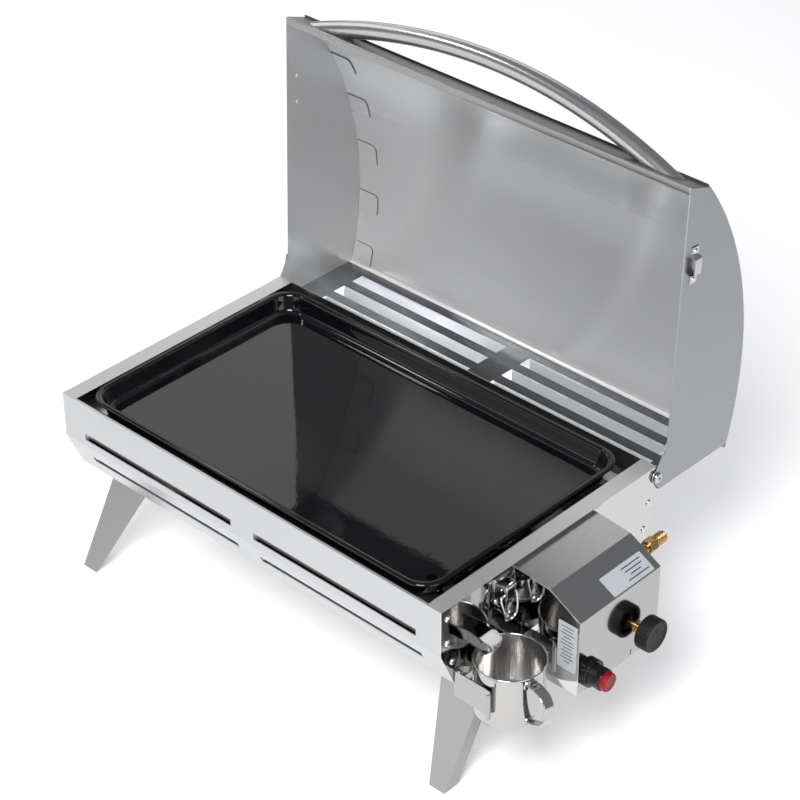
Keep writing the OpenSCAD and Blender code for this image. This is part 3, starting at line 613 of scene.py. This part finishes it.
def inlet():
    """The gas inlet: a hexagon nut, a neck, a hexagon collar and a threaded end."""
    c = (322, 231, -44.5)
    n, rows, pitch, thread_r = 64, 150, 1.337, 6.58
    start, end = 44, 60

    def hexagon(across, chamfer_r, lo, hi):
        def shape(t, a, r):
            h = across / 2 / math.cos((a + math.pi / 6) % (math.pi / 3) - math.pi / 6)
            edge = min(t - lo, hi - t)
            return min(h, chamfer_r + edge * 1.6) if r > 5.6 else r
        return shape

    def ring(t, radius):
        """Points about the fitting's axis; radius(k) gives how far out each one is."""
        loop = []
        for k in range(n):
            a, r = 2 * math.pi * k / n, radius(k)
            loop.append((c[0] + r * math.cos(a), c[1] + t, c[2] + r * math.sin(a)))
        return loop

    def thread(t, k):
        """The thread's radius, which fades in at its root and tapers at its tip."""
        depth = 0.86 * abs(2 * ((t / pitch - k / n) % 1) - 1)
        return thread_r - depth * min(1, (t - start) / 1.5) - max(0, t - 59) * 0.9
    parts = [lathe(c, "y", [(3, 5.4), (3, 8), (3.4, 8), (4, 8), (6.2, 8), (6.8, 8), (7.2, 8),
                            (7.2, 5.4)], 72, hexagon(17, 8.2, 3, 7.2)),
             lathe(c, "y", [(0, 4.5), (0, 5.4), (31, 5.4), (31, 4.5)], 48),
             lathe(c, "y", [(31.5, 5.4), (31.5, 8), (31.9, 8), (32.4, 8), (33, 8), (41, 8),
                            (41.6, 8), (42.1, 8), (42.5, 8), (42.5, 5.4)],
                   96, hexagon(15, 7.4, 31.5, 42.5))]
    loops = [ring(42.4, lambda k: 5.6), ring(start, lambda k: 5.6)]
    for i in range(rows + 1):
        t = start + (end - start) * i / rows
        loops.append(ring(t, lambda k: thread(t, k)))
    loops += [ring(t, lambda k: r) for t, r in ((end, 4.3), (57, 3.3), (40, 3.3))]
    parts.append(grid(loops, cap_start=True, cap_end=True))
    piece("inlet_fitting", *joined(*parts), "brass", "frame", sharp=30, replaces=["gas_inlet"],
          slot="brass")


def fillet(points, radius, seg):
    """Rounds the corners of an open 2-D path, where its lines are long enough."""
    out = [tuple(points[0])]
    for i in range(1, len(points) - 1):
        p, a, b = Vector(points[i]), Vector(points[i - 1]), Vector(points[i + 1])
        u, v = (a - p).normalized(), (b - p).normalized()
        ang = u.angle(v)
        t = radius / math.tan(ang / 2)
        t = min(t, (a - p).length * 0.45, (b - p).length * 0.45)
        r = t * math.tan(ang / 2)
        cen = p + (u + v).normalized() * (r / math.sin(ang / 2))
        s, e = p + u * t - cen, p + v * t - cen
        total = s.angle(e)
        sign = 1 if s.x * e.y - s.y * e.x > 0 else -1
        for k in range(seg + 1):
            th = sign * total * k / seg
            out.append((cen.x + s.x * math.cos(th) - s.y * math.sin(th),
                        cen.y + s.x * math.sin(th) + s.y * math.cos(th)))
    out.append(tuple(points[-1]))
    return out


def offset_path(pts, t):
    """A 2-D path moved sideways by t."""
    out = []
    for i, p in enumerate(pts):
        a = Vector(pts[max(i - 1, 0)])
        b = Vector(pts[min(i + 1, len(pts) - 1)])
        d = (b - a).normalized()
        out.append((p[0] - d.y * t, p[1] + d.x * t))
    return out


def bent_sheet(path, t, lo, hi, axis):
    """A bent sheet: a 2-D path thickened by t and run from lo to hi along y or z."""
    loop = list(path) + offset_path(path, t)[::-1]
    return grid([[{"y": (a, s, b), "z": (a, b, s)}[axis] for a, b in loop] for s in (lo, hi)],
                cap_start=True, cap_end=True)


def control_box():
    """A bent cover, polished on its face and underside, between two ends."""
    y0, y1 = 108, 234
    profile = [(277.6, -5), (322.5, -9), (BOX_X, -30), (BOX_X, -123)]
    shell = bent_sheet(fillet(profile + [(300, -123)], 2.2, 5), -SHEET, y0 + 0.3, y1 - 0.3, "y")
    cover = piece("box_cover", *shell, ["box", "box_slope", "box_face"], "frame", sharp=40,
                  replaces=["control_box"], slot="polished_sheet")
    for poly in cover.data.polygons:
        n = poly.normal
        if abs(n.y) > 0.9 or n.x > 0.9 or n.z < -0.9:
            poly.material_index = 2
        elif n.x > 0.3:
            poly.material_index = 1
    outline = fillet(profile + [(277.6, -123)], 2.2, 5)
    cen = (318, -66)
    ends = []
    for y, out in ((y0, -1), (y1, 1)):
        loops = []
        for inset, dy in ((0.0, 0.6), (0.15, 0.15), (0.6, 0.0), (1.6, 0.0)):
            ring = []
            for x, z in outline:
                d = Vector((cen[0] - x, cen[1] - z)).normalized() * inset
                ring.append((x + d.x if x > 278 else x, y - out * dy, z + d.y))
            loops.append(ring)
        ends.append(grid(loops, cap_end=True))
    piece("box_ends", *joined(*ends), "mirror", "frame", sharp=40, slot="polished_sheet")


def label(name, centre, u, v, n, w, h, node, bars):
    """An information plate with plain bars in place of print."""
    u, v, n, c = Vector(u), Vector(v), Vector(n), Vector(centre)
    loops = [[tuple(c + u * a + v * b + n * z) for a, b in rounded_rect(w, h, 1.2, 4)]
             for z in (0.0, 0.28)]
    piece(name, *grid(loops, cap_start=True, cap_end=True), "label", "frame", sharp=30,
          replaces=[node], slot="label")
    strips = []
    for a, b, bw, bh in bars:
        q = rounded_rect(bw, bh, min(bw, bh) * 0.35, 3)
        strips.append(grid([[tuple(c + u * (a + x) + v * (b + y) + n * z) for x, y in q]
                            for z in (0.27, 0.33)], cap_start=True, cap_end=True))
    piece(name + "_bars", *joined(*strips), "ink", "frame", sharp=30, slot="label")


def labels():
    """One plate on the box's slope, which falls 21 in 40, and one on its front end."""
    slope = math.atan2(21, 40)
    u = (math.cos(slope), 0, -math.sin(slope))
    n = (math.sin(slope), 0, math.cos(slope))
    mid = Vector((342.5, 194, -19.5)) + Vector(u) * 9.2
    bars = [(-7 + 4.6 * i, 12, 1.3, w) for i, w in enumerate((30, 26, 16, 32))]
    label("warning_plate", mid, u, (0, 1, 0), n, 24, 63, "warning_label", bars)
    widths = (16, 12, 17, 9, 15, 17, 11, 16, 13, 17, 8)
    bars = [(0, 24 - 4.3 * i, w, 1.1) for i, w in enumerate(widths)]
    label("rating_plate", (347.5, 107.95, -67), (1, 0, 0), (0, 0, 1), (0, -1, 0), 24, 58,
          "rating_label", bars)


hotplate()
mug()
knob()
igniter()
inlet()
control_box()
labels()


# ---------------------------------------------------------------- lid
def op(x, y, z):
    """A point of the closed lid, moved to where the open lid has it."""
    dy, dz = y - HINGE[0], z - HINGE[1]
    return (x, HINGE[0] + dy * math.cos(OPEN) + dz * math.sin(OPEN),
            HINGE[1] - dy * math.sin(OPEN) + dz * math.cos(OPEN))


def on_strip(x, out, up=0.0):
    """A point out from the middle of the closed lid's strip and up along it, on the open lid."""
    return op(x, STRIP_MID[0] + up * math.sin(STRIP_TILT) - out * math.cos(STRIP_TILT),
              STRIP_MID[1] + up * math.cos(STRIP_TILT) + out * math.sin(STRIP_TILT))


def handle():
    """The arched tube, cut off flat a little behind the strip."""
    span, rise, tube_r = 461, 38, 10
    r = ((span / 2) ** 2 + rise ** 2) / (2 * rise)
    half = math.asin((span / 2) / r) + math.asin(32 / r)
    path = []
    for i in range(97):
        a = -half + 2 * half * i / 96
        path.append(on_strip(r * math.sin(a), r * math.cos(a) + rise - r))
    vs, fs = sweep(path, disc(tube_r, 40), up=(0, 0.2, 1))
    base = Vector(on_strip(0, 0))
    outward = (Vector(on_strip(0, 1)) - base).normalized()
    vs = [tuple(Vector(v) + outward * max(0.0, -4.5 - (Vector(v) - base).dot(outward))) for v in vs]
    piece("handle_tube", vs, fs, "handle", "lid", sharp=50, replaces=["lid_handle"],
          slot="brushed_sheet")


def handle_gap_shade():
    """Rings of painted shade for the thin clearance around the tube where it passes through the
    strip.
    """
    parts = []
    for s in (-1, 1):
        loops = []
        for grow, lift in ((0.0, 0.0), (0.0, 0.16), (0.6, 0.16), (0.6, 0.0)):
            ring = []
            for k in range(72):
                a = 2 * math.pi * k / 72
                u, v = (31.5 + grow * 1.8) * math.cos(a), (10.0 + grow) * math.sin(a)
                ring.append(on_strip(s * 228.6 + u, lift, v))
            loops.append(ring)
        parts.append(grid(loops + [loops[0]]))
    piece("handle_gap_shade_rings", *joined(*parts), "washer", "lid", sharp=40, slot="washer")


handle()
handle_gap_shade()


def crown(n, trim=0.0):
    """Points of the crown's arc, from the front strip to the rear corner."""
    a = math.atan2(STRIP_TOP.y - CROWN_C.y, STRIP_TOP.x - CROWN_C.x) + trim
    b = math.atan2(REAR_CORNER.y - CROWN_C.y, REAR_CORNER.x - CROWN_C.x) - trim
    return [(CROWN_C.x + CROWN_R * math.cos(a + (b - a) * i / n),
             CROWN_C.y + CROWN_R * math.sin(a + (b - a) * i / n)) for i in range(n + 1)]


def sheet_piece(name, verts, faces, mats, tone, facing, sharp):
    """A thin sheet of the lid drawn by its outer face; tone gives each face's material."""
    ob = piece(name, verts, faces, mats, "lid", sharp=sharp, replaces=["lid_skin"],
               slot="brushed_sheet", even=False)
    me = ob.data
    probe = max(me.polygons, key=lambda q: q.area)
    if probe.normal.dot(Vector(facing)) < 0:
        me.flip_normals()
    for poly in me.polygons:
        poly.material_index = tone(poly)
    so = ob.modifiers.new("sheet", "SOLIDIFY")
    so.thickness = SHEET / 1000
    so.offset = -1
    even_shading(ob)


def louvre(put, x0, x1, hi, lo, depth, end=15):
    """A pressed louvre hinged along hi and open along lo; put(x, t, d) places its points."""
    verts = []
    steps = [(0, 0), (0.06, 0.12), (0.85, 0.94), (0.93, 0.99), (1.0, 1.0)]
    for t, d in steps:
        e = 0.4 + end * t
        for x, k in ((x0, 0), (x0 + e, 1), (x1 - e, 1), (x1, 0)):
            verts.append(put(x, hi + (lo - hi) * t, depth * d * k))
    return verts, panel(len(steps), 4)


def lid_skin():
    """The wrapped lid sheet with its folded front strip."""
    corner = fillet([crown(72, TRIM)[-2], tuple(REAR_CORNER), (347.4, 80)], 3.0, 5)[1:-1]
    path = (fillet([(4, 1), tuple(STRIP_FOOT), tuple(STRIP_TOP), crown(40)[3]], 1.6, 4)[:-1]
            + crown(72, TRIM) + corner + [wall_point(WALL_TOP, 0)])
    verts = [op(k * LID_HALF, y, z) for y, z in path for k in (-1, -0.5, 0.5, 1)]
    # The crown below strip_from takes the lid's tone, painted lighter than the strip of the same
    # sheet
    strip_from = MID.z + 0.3085
    sheet_piece("lid_sheet", verts, panel(len(path), 4), ["lid", "strip"],
                lambda q: 1 if q.center.z > strip_from else 0, (0, 1, 0.3), 28)


def wall_point(z, out):
    """A point of the rear wall of the closed lid at a height, moved out from it."""
    t = (z - REAR_FOOT.y) / (REAR_CORNER.y - REAR_FOOT.y)
    return REAR_FOOT.x + (REAR_CORNER.x - REAR_FOOT.x) * t + out, z


def lid_wall():
    """The lid's rear wall with three rows of pressed louvres."""
    def on_wall(x, z, out):
        return op(x, *wall_point(z, out))
    rows = [(z + 9, z - 9) for z in (81.5, 50.5, 19.5)]
    zs = [WALL_TOP] + [z for row in rows for z in row] + [REAR_FOOT.y]
    cols = [-LID_HALF, -244, -17, 17, 244, LID_HALF]
    openings = [(i, j) for i in (1, 3, 5) for j in (1, 3)]
    parts = [([on_wall(x, z, 0) for z in zs for x in cols], panel(len(zs), len(cols), openings))]
    for hi, lo in rows:
        for x0, x1 in ((-243.9, -17.1), (17.1, 243.9)):
            parts.append(louvre(on_wall, x0, x1, hi - 0.05, lo, 7.1))

    # Tones by facing, as painted light and shade: the wall takes the painted-shade tone, the
    # blades' faces a painted-light tone and their side ends a painted highlight
    def tone(poly):
        n = poly.normal
        return 2 if abs(n.x) > 0.2 else (1 if abs(n.y) > 0.12 else 0)
    sheet_piece("lid_rear_wall", *joined(*parts), ["lid_rear", "blade", "blade_end"], tone,
                (0, 0, -1), 9)


def cap_sheet(side):
    """The flat of an end cap, with a rounded edge."""
    hinge_r, near_hinge = 7.5, 30
    hinge_arc = [(HINGE[0] + hinge_r * math.cos(math.radians(a)),
                  HINGE[1] + hinge_r * math.sin(math.radians(a))) for a in range(-20, -175, -15)]
    outline = (fillet([(100, 1), tuple(STRIP_FOOT), tuple(STRIP_TOP), crown(40)[3]], 1.6, 4)[1:-1]
               + crown(72, TRIM)
               + fillet([crown(72)[-3], tuple(REAR_CORNER), (REAR_FOOT.x, 0)], 2.5, 4)[1:-1]
               + fillet([(REAR_FOOT.x, 20), tuple(REAR_FOOT), hinge_arc[0]], 3, 4)[1:-1]
               + hinge_arc + fillet([hinge_arc[-1], (308, -5.5), (294, 0.8), (200, 1)], 6, 5)[1:-1])
    cen = Vector((175, 40))
    loops = []
    for inset, x in ((0.7, 278.3), (0.0, 278.4), (0.0, 278.6), (0.25, 279.1), (0.8, 279.45),
                     (1.6, 279.5)):
        loop = []
        for i, q in enumerate(outline):
            a, b = Vector(outline[i - 1]), Vector(outline[(i + 1) % len(outline)])
            t = (b - a).normalized()
            inward = Vector((t.y, -t.x))
            if inward.dot(cen - Vector(q)) < 0 and (Vector(q) - Vector(HINGE)).length > near_hinge:
                inward = -inward
            loop.append(op(side * x, q[0] + inward.x * inset, q[1] + inward.y * inset))
        loops.append(loop)
    return grid(loops, cap_start=True, cap_end=True)


def crown_point(side, x, r, a):
    """A point of the closed lid's crown at a radius and an angle, where the open lid has it."""
    return op(side * x, CROWN_C.x + r * math.cos(a), CROWN_C.y + r * math.sin(a))


def cap_tab(side, mid, half):
    """A tab of an end cap, which lies on the inside of the crown."""
    edge = [(277.9, -1), (TAB_X + 1, -1), (TAB_X, -0.95), (TAB_X, 0.55), (TAB_X + 1, 0.8),
            (TAB_X + 4, 1), (277.9, 1)]
    loops = []
    for inset, depth in ((0.5, 1.25), (0.0, 1.5), (0.0, 2.1), (0.5, 2.4)):
        pts = [(x + inset * (1 if x < 270 else 0), u * (half - inset / CROWN_R)) for x, u in edge]
        loops.append([crown_point(side, a[0] + (b[0] - a[0]) * m / 3, CROWN_R - depth,
                                  mid + (a[1] + (b[1] - a[1]) * m / 3))
                      for a, b in zip(pts, pts[1:] + pts[:1]) for m in range(3)])
    return grid(loops, cap_start=True, cap_end=True)


def tab_gap_shade(side, mid, half):
    """A dark line of painted shade for the gap around a tab."""
    line = [(TAB_X - 0.3, half * (-0.9 + 1.45 * k / 8)) for k in range(9)]
    line += [(TAB_X + 0.7, half * 0.84), (TAB_X + 3.9, half + 0.3 / CROWN_R)]
    line += [(x, half + 0.3 / CROWN_R) for x in (TAB_X + 10, TAB_X + 18, 277.6)]
    path = [crown_point(side, x, CROWN_R - 1.7, mid + u) for x, u in line]
    return sweep(path, disc(0.55, 8), up=(0, -1, -0.2))


def lid_cap(side):
    """An end cap with a rounded edge, and the tabs that hold it to the crown."""
    name = "left" if side < 0 else "right"
    tabs = [(math.radians(118 - 10.2 * i), 12.7 / CROWN_R) for i in range(5)]
    parts = [cap_sheet(side)] + [cap_tab(side, *tab) for tab in tabs]
    prof = [(0.1, 0.02), (0.2, 1.2), (0.7, 2.2), (1.3, 2.6), (1.6, 2.6)]
    vs, fs = lathe((0, LATCH_Y, KEEPER_Z), "x", prof, 24)
    for dy in (-16, 16):
        parts.append(([op(side * (276.7 + x), y + dy, z) for x, y, z in vs], fs))
    cap = piece(f"lid_cap_{name}_sheet", *joined(*parts), ["cap", "cap_inside", "lid"], "lid",
                sharp=32, replaces=[f"lid_cap_{name}"], slot="brushed_sheet")
    piece(f"lid_tab_gap_shade_{name}", *joined(*[tab_gap_shade(side, *tab) for tab in tabs]), "washer", "lid",
          sharp=60, slot="washer")
    # The tabs lie innermost and take the lid's tone; then comes the inside of the flat, painted
    # lighter than its outside
    tabs_to, inside_to = 0.2765, 0.2788
    for poly in cap.data.polygons:
        x = abs(poly.center.x - MID.x)
        poly.material_index = 2 if x < tabs_to else (1 if x < inside_to else 0)


lid_skin()
lid_wall()
lid_cap(-1)
lid_cap(1)


# ---------------------------------------------------------------- latches, rivets and small parts
def rivet(side, x, y, z, d, grip, at=lambda *p: p):
    """A domed rivet head on a sheet whose outer face is at x."""
    r, h = 1.05 * d, 0.55 * d
    prof = [(-grip, d / 2), (0, d / 2), (0, r), (0.12 * d, r)]
    prof += [(0.12 * d + (h - 0.12 * d) * math.sin(a), 0.02 + r * math.cos(a))
             for a in (math.radians(k * 11.25) for k in range(1, 9))]
    vs, fs = lathe((0, 0, 0), "x", prof, 32)
    return [at(side * (x + a), y + b, z + c) for a, b, c in vs], fs


def rivets():
    """Each set of rivet heads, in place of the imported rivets."""
    both = (-1, 1)
    on_body = [(9, -12), (9, -42), (17, -70), (322, -42), (316, -73)]
    sets = [
        ("body", "frame", [rivet(s, HALF_W, y, z, 3.5, SHEET) for s in both for y, z in on_body]),
        ("latch", "frame", [rivet(s, HALF_W + 1.5, LATCH_Y + dy, -30, 3, 1.5)
                            for s in both for dy in (-9.5, 9.5)]),
        ("holder", "frame", [rivet(1, HALF_W + SHEET, MUG[1] + s * 31.3, -98 + dz, 3, SHEET)
                             for s in both for dz in (-8, 8)]),
        ("keeper", "lid", [rivet(s, LID_HALF + 2.4, LATCH_Y + dy, KEEPER_Z, 3, 2.4, op)
                           for s in both for dy in (-16, 16)]),
    ]
    for name, body, heads in sets:
        piece(f"{name}_rivet_heads", *joined(*heads), "rivet", body, sharp=50,
              replaces=[f"{name}_rivets"], slot="rivet")


def flat_part(outline, x0, x1, edge, put):
    """A flat plate with a fine rounded edge; put(t, a, b) places its points."""
    cen = sum((Vector(q) for q in outline), Vector((0, 0))) / len(outline)
    loops = []
    for inset, t in ((edge, x0), (edge * 0.3, x0 + edge * 0.3), (0, x0 + edge), (0, x1 - edge),
                     (edge * 0.3, x1 - edge * 0.3), (edge, x1)):
        ring = []
        for q in outline:
            d = cen - Vector(q)
            d = d.normalized() * min(inset, d.length)
            ring.append(put(t, q[0] + d.x, q[1] + d.y))
        loops.append(ring)
    return grid(loops, cap_start=True, cap_end=True)


def arc(r, angles, shift=0):
    """Points of a circle about (shift, 0)."""
    return [(shift + r * math.cos(math.radians(k)), r * math.sin(math.radians(k))) for k in angles]


def latch(side):
    """A toggle latch: a base with two ears, a lever with its pin, and a wire bail."""
    name = "left" if side < 0 else "right"
    c = (side * (HALF_W + 7), LATCH_Y, LATCH_Z)

    def on_panel(t, a, b):
        return (side * (HALF_W + t), LATCH_Y + a, LATCH_Z + b)
    plate = [(a, b - 5) for a, b in rounded_rect(24, 30, 2.5, 5)]
    base = [flat_part(plate, 0, 1.5, 0.35, on_panel)]
    ear = [(0.2, 5), (0.2, -5)] + arc(5, range(-90, 91, 12), 7)
    for s in (-1, 1):
        base.append(flat_part(ear, s * 8 - 0.7, s * 8 + 0.7, 0.25,
                              lambda t, a, b: on_panel(a, t, b)))
    piece(f"latch_base_{name}_plate", *joined(*base), "wire", "frame", sharp=40,
          replaces=[f"latch_base_{name}"], slot="polished_sheet")
    path = smooth_path([(c[0] + side * x, c[1], c[2] + z) for x, z in
                        ((3.4, 3.6), (4.5, 0.6), (4.6, -6), (4.3, -13), (3.1, -20), (2.5, -27),
                         (2.9, -33), (4.2, -38))], 5)
    lever = [sweep(path, [(b, a) for a, b in pill(12, 1.4)], up=(0, 1, 0))]
    ear = arc(4.5, range(0, 190, 15)) + [(-2.4, -7), (0.2, -12), (4.4, -13.4)]
    for s in (-1, 1):
        lever.append(flat_part(ear, s * 6 - 0.7, s * 6 + 0.7, 0.25,
                               lambda t, a, b: (c[0] + side * a, c[1] + t, c[2] + b)))
    lever.append(lathe(c, "y", [(-9.8, 0.02), (-9.8, 1.1), (-9.5, 1.25), (9.5, 1.25), (9.8, 1.1),
                                (9.8, 0.02)], 24))
    piece(f"latch_lever_{name}_tongue", *joined(*lever), "wire", f"latch_lever_{name}", sharp=40,
          replaces=[f"latch_lever_{name}"], slot="polished_sheet")
    half = [(0, -4.8, 0), (0, -8.2, 0), (0.3, -10.6, -1.2), (1.2, -11.3, -4.5), (2.8, -10.8, -11),
            (4.2, -9.6, -18), (4.9, -7.6, -23.6), (5, -4.4, -27.3)]
    full = half + [(5, 0, -28.4)] + [(x, -y, z) for x, y, z in reversed(half)]
    path = smooth_path([(side * (HALF_W + 9 + x), LATCH_Y + y, -22 + z) for x, y, z in full], 5)
    wire = sweep(path, disc(1.3, 16), up=(side, 0, 0.3))
    piece(f"latch_bail_{name}_wire", *wire, "wire", f"latch_bail_{name}", sharp=60,
          replaces=[f"latch_bail_{name}"], slot="polished_sheet")


def keeper(side):
    """The bent strap on the lid's end cap that a bail hooks over."""
    name = "left" if side < 0 else "right"
    pts = fillet([(0, -21), (0, -11), (5, -9), (5, 9), (0, 11), (0, 21)], 1.6, 5)
    loop = pts + offset_path(pts, -SHEET)[::-1]
    loops = []
    for inset, z in ((0.3, -5.5), (0.0, -5.2), (0.0, 5.2), (0.3, 5.5)):
        loops.append([op(side * (LID_HALF + 1.2 + x), LATCH_Y + y * (1 - inset / 21), KEEPER_Z + z)
                      for x, y in loop])
    piece(f"keeper_{name}_strap", *grid(loops, cap_start=True, cap_end=True), "wire", "lid",
          sharp=40, replaces=[f"keeper_{name}"], slot="polished_sheet")


def holder():
    """The two arms that hold the mug, and the bar that joins them on the panel."""
    y = MUG[1]
    parts = []
    for s in (-1, 1):
        path = fillet([(277.5, y + s * 25.3), (277.5, y + s * 39.3), (320.5, y + s * 39.3),
                       (326.6, y + s * 40.4), (327.8, y + s * 43.6), (326.0, y + s * 45.6)], 2.4, 5)
        parts.append(bent_sheet(path, SHEET * -s, -114, -82, "z"))
    parts.append(flat_part(rounded_rect(52.6, 6, 1, 3), 0, SHEET, 0.2,
                           lambda t, a, b: (HALF_W + t, y + a, -111 + b)))
    piece("mug_holder_arms", *joined(*parts), "box_face", "frame", sharp=40,
          replaces=["mug_holder"], slot="polished_sheet")


def hinge_heads():
    """The hinge screws' heads, each with a socket."""
    prof = [(276, 3), (280, 3), (280, 5.7), (280.3, 6), (281.4, 6), (282.2, 5.5), (282.8, 4.2),
            (283.1, 2.4), (283.15, 2.0), (281.9, 1.9), (281.9, 0.02)]
    vs, fs = lathe((0, *HINGE), "x", prof, 48)
    parts = [([(s * x, y, z) for x, y, z in vs], fs) for s in (-1, 1)]
    piece("hinge_screw_heads", *joined(*parts), "wire", "frame", sharp=35,
          replaces=["hinge_screws"], slot="zinc")


def face_mark():
    """A plain pointer mark on the box's face, below the knob."""
    q = rounded_rect(1.5, 6.6, 0.5, 3)
    loops = [[(BOX_X + t, 192.4 + a, -116 + b) for a, b in q] for t in (-0.1, 0.05)]
    piece("face_mark", *grid(loops, cap_start=True, cap_end=True), "ink", "frame", sharp=30,
          slot="black_plastic")


def front_louvres():
    """Blades pressed inward behind the slots of the front sheet, painted lighter than the sheet
    they are pressed from.
    """
    upper, lower = [], []
    # The lower row lies on the slope, which falls 45 and goes back 20
    slope = (20 / 49.2, -45 / 49.2)
    for x0, x1 in ((-244.6, -16.4), (16.4, 244.6)):
        upper.append(louvre(lambda x, z, d: (x, 0.9 + d, z), x0, x1, -SLOT_DROP + 0.8,
                            -SLOT_DROP - SLOT_H - 1, 4.6, 1.5))
        lower.append(louvre(lambda x, t, d: (x, 0.2 - slope[0] * t + 0.9 * (0.8 + d),
                                             -55 - slope[1] * t + 0.4 * (0.8 + d)),
                            x0, x1, -19.2, -21 - SLOT_H, 2.4, 1.5))
    piece("upper_louvre_blades", *joined(*upper), "blade_dark", "frame", sharp=12,
          slot="satin_sheet")
    piece("lower_louvre_blades", *joined(*lower), "blade_front", "frame", sharp=12,
          slot="satin_sheet")


def soften(names, width):
    """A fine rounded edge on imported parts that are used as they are."""
    for n in names:
        bev = NODES[n].modifiers.new("edge", "BEVEL")
        bev.width = width / 1000
        bev.segments = 2
        bev.limit_method = "ANGLE"
        bev.angle_limit = math.radians(35)
        even_shading(NODES[n])


rivets()
for side in (-1, 1):
    latch(side)
    keeper(side)
front_louvres()
holder()
hinge_heads()
face_mark()
soften(["body_wrapper", "end_panel_left", "end_panel_right", "grease_chute"], 0.35)
corners = [f"{a}_{b}" for a in ("front", "rear") for b in ("left", "right")]
soften([f"leg_{c}" for c in corners], 0.5)
soften([f"leg_bracket_{c}" for c in corners], 0.3)


# ---------------------------------------------------------------- stage
def area(name, at, towards, size, power, size_y=None):
    """A rectangular lamp at a place, turned towards another."""
    d = bpy.data.lights.new(name, "AREA")
    d.energy = power
    d.shape = "RECTANGLE"
    d.size = size
    d.size_y = size_y or size
    o = add_object(name, d)
    o.location = at
    o.rotation_euler = (Vector(towards) - Vector(at)).to_track_quat("-Z", "Y").to_euler()


FLOOR_HALF = 9
FLOOR_GLOW = 0.30
SKY_STRENGTH = 0.32
me = bpy.data.meshes.new("floor")
floor_at = [(-FLOOR_HALF, -FLOOR_HALF, 0), (FLOOR_HALF, -FLOOR_HALF, 0),
            (FLOOR_HALF, FLOOR_HALF, 0), (-FLOOR_HALF, FLOOR_HALF, 0)]
me.from_pydata(floor_at, [], [(0, 1, 2, 3)])
floor = add_object("floor", me)
m, nt, b = new_material("floor_paper")
paper = ramp(nt, noise(nt, 3, detail=4), [(0.3, (0.76, 0.76, 0.765)), (0.7, (0.78, 0.78, 0.78))])
nt.links.new(paper, b.inputs["Base Color"])
nt.links.new(spread(nt, noise(nt, 60), 0.8, 0.9), b.inputs["Roughness"])
b.inputs["Emission Color"].default_value = (1, 1, 1, 1)
b.inputs["Emission Strength"].default_value = FLOOR_GLOW
me.materials.append(m)

world = bpy.data.worlds.new("studio")
bpy.context.scene.world = world
world.use_nodes = True
bg = world.node_tree.nodes["Background"]
bg.inputs["Color"].default_value = (0.93, 0.95, 1.0, 1)
bg.inputs["Strength"].default_value = SKY_STRENGTH
area("key", (0.9, -1.9, 2.5), (0, 0.1, 0.3), 1.2, 110)
area("left", (-2.6, 0.2, 1.7), (0, 0, 0.3), 1.6, 12)
area("right", (2.6, -0.6, 1.0), (0, 0.1, 0.35), 1.4, 15)
area("front", (-0.9, -3.0, 0.75), (0, 0.1, 0.35), 3.2, 19, 1.3)
area("back", (-2.1, 2.2, 1.9), (-0.14, 0.1, 0.25), 1.7, 11)
area("spark", (-1.4, -0.5, 2.0), (0, 0.2, 0.2), 0.22, 5)
bpy.context.scene.view_settings.view_transform = "Standard"
